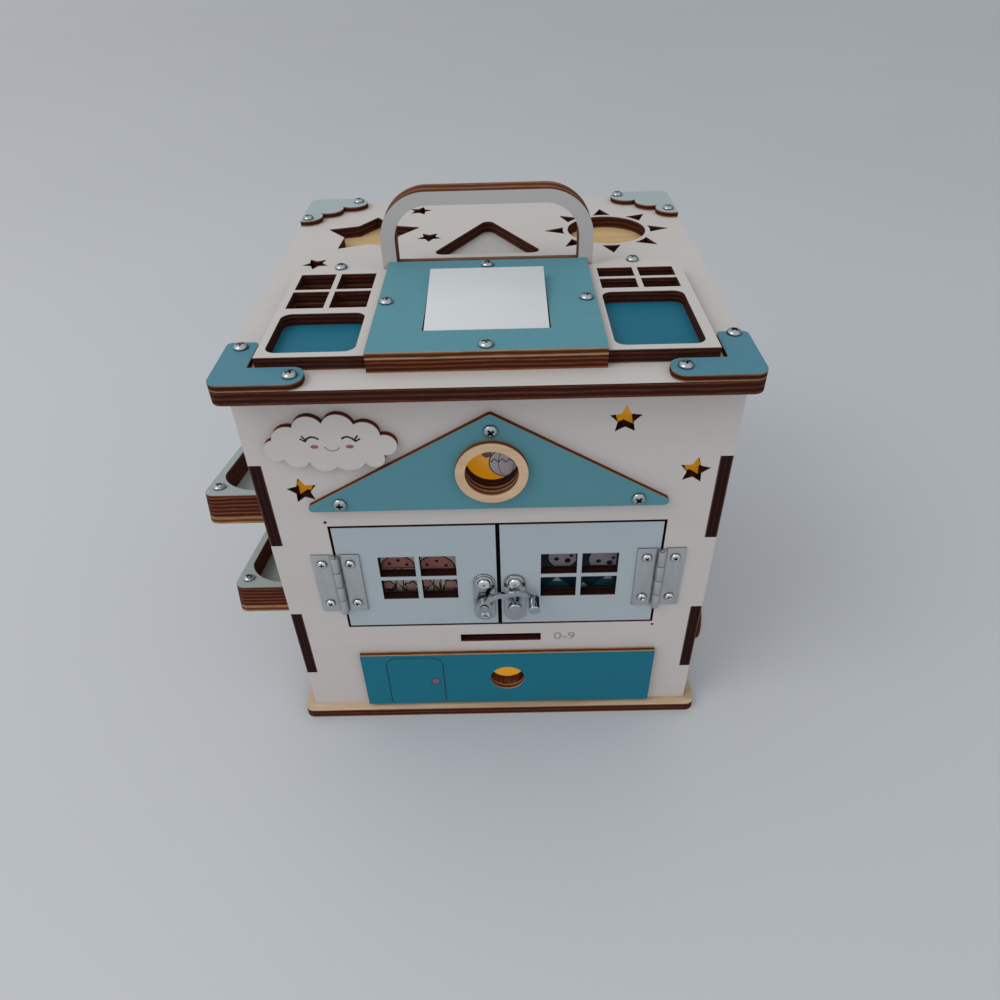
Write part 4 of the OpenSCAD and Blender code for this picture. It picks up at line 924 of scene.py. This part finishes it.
for name, outlines, ink_name, code in (("cloud_face_lines", eyes, "black_ink", "#1d181a"),
                                       ("cloud_mouth", mouth, "grey_mouth_ink", "#736c6c"),
                                       ("cloud_cheeks", cheeks, "pink_ink", "#a2545f")):
    dress(on_front(name, outlines, CLOUD_FACE + HAIR, INK_THICK), ink(ink_name, code), "house")

# Side trays
# Sheets glued up to a rounded well and fixed to the left wall, falling a little to the back; mint grey on
# top, with a cut edge of twelve plies.

MINT = "#9aa4a4"
TRAY_TURN = (TRAY_FALL, 0, 0)
for tray in ("upper", "lower"):
    board(f"{tray}_tray_rim", TRAY_TURN, 12, MINT, reverse=MINT, char=0.6, lip=0.6)
    board(f"{tray}_tray_floor", TRAY_TURN, 3, MINT, reverse=BIRCH, char=0.25)

# Dial on the right wall
# A bare birch disc, cut from a 3 mm sheet, that turns on a zinc-plated axle in the wall.

board("side_dial", FACING_RIGHT, 3, BIRCH, grain=BARE_GRAIN)
eased("dial_axle", ZINC_PLATE, 0.25)

# Inside
# The battery box on the back wall is black moulded plastic; the lamp strip under the lid is a white plastic
# band.

eased("battery_box", plastic("black_moulded_plastic", "#232325", 0.5, 0.4, 0.3), 1.2, 3)
eased("lamp_strip", plastic("white_lamp_strip", "#dcd9cc", 0.45), 0.3)

# Floor, light and camera
# A plain pale table top, soft light from the upper left as in a bright room, and the photograph's view.

TABLE_HALF = 15                           # metres, so that its rim is never near
mesh = bmesh.new()
bmesh.ops.create_grid(mesh, x_segments=1, y_segments=1, size=TABLE_HALF)
table_top = make("table_top", mesh)
laminate, tree, shader = start_material("pale_laminate")
place = add(tree, "ShaderNodeTexCoord").outputs["Object"]
broad = add(tree, "ShaderNodeTexNoise", {"Vector": place, "Scale": 1.5, "Detail": 2})    # 0.7 m
tone = add(tree, "ShaderNodeMix", {"Factor": broad, "A": colour("#b3b8be"), "B": colour("#babfc4")},
           data_type="RGBA")
tree.links.new(shown(tone.outputs, 0), shader.inputs["Base Color"])
shader.inputs["Roughness"].default_value = 0.42
finish(table_top, laminate)

LAMP_AT, LAMP_AIM = Vector((-1.1, -0.7, 1.6)), Vector((0, 0, 0.1))
window_light = bpy.data.lights.new("window_light", "AREA")
window_light.shape = "SQUARE"
window_light.size = 1.0
window_light.energy = 10
window_light.color = colour("#fffdf8")[:3]
lamp = placed("window_light", window_light)
lamp.location = LAMP_AT
lamp.rotation_euler = (LAMP_AIM - LAMP_AT).to_track_quat("-Z", "Y").to_euler()

# The room is bright above, in front and on the left, and darker behind and on the right
TOWARD_WINDOW = (-0.42, -0.5, 0.55)
ROOM_DARK, ROOM_BRIGHT = "#80858a", "#fafafa"
world = bpy.data.worlds.new("bright_room")
bpy.context.scene.world = world
world.use_nodes = True
room = world.node_tree
view = add(room, "ShaderNodeTexCoord").outputs["Generated"]
facing = add(room, "ShaderNodeVectorMath", {0: view, 1: TOWARD_WINDOW}, operation="DOT_PRODUCT")
brightness = add(room, "ShaderNodeMapRange", {0: facing.outputs["Value"], 1: -0.5, 2: 0.3},
                 interpolation_type="SMOOTHSTEP")
room_tone = add(room, "ShaderNodeMix",
                {"Factor": brightness, "A": colour(ROOM_DARK), "B": colour(ROOM_BRIGHT)}, data_type="RGBA")
backdrop = room.nodes["Background"]
room.links.new(shown(room_tone.outputs, 0), backdrop.inputs["Color"])
backdrop.inputs["Strength"].default_value = 0.91

CAMERA_AT = Vector((7.06, -385.25, 381.6)) * MM
PITCH, YAW, ROLL = (math.radians(a) for a in (-38.89, -0.653, -1.643))
FOCAL_SHARE = 0.75036                     # focal length over the picture's width
ahead = Vector((math.sin(YAW) * math.cos(PITCH), math.cos(YAW) * math.cos(PITCH), math.sin(PITCH)))
level = Vector((math.cos(YAW), -math.sin(YAW), 0))
upward = level.cross(ahead)
right = math.cos(ROLL) * level + math.sin(ROLL) * upward
top = -math.sin(ROLL) * level + math.cos(ROLL) * upward
camera_data = bpy.data.cameras.new("photo_view")
camera_data.sensor_width = 36
camera_data.lens = FOCAL_SHARE * camera_data.sensor_width
camera_data.clip_start = 0.01
camera = placed("photo_view", camera_data)
camera.matrix_world = Matrix.Translation(CAMERA_AT) @ Matrix((right, top, -ahead)).transposed().to_4x4()
bpy.context.scene.camera = camera
bpy.context.scene.view_settings.view_transform = "Standard"
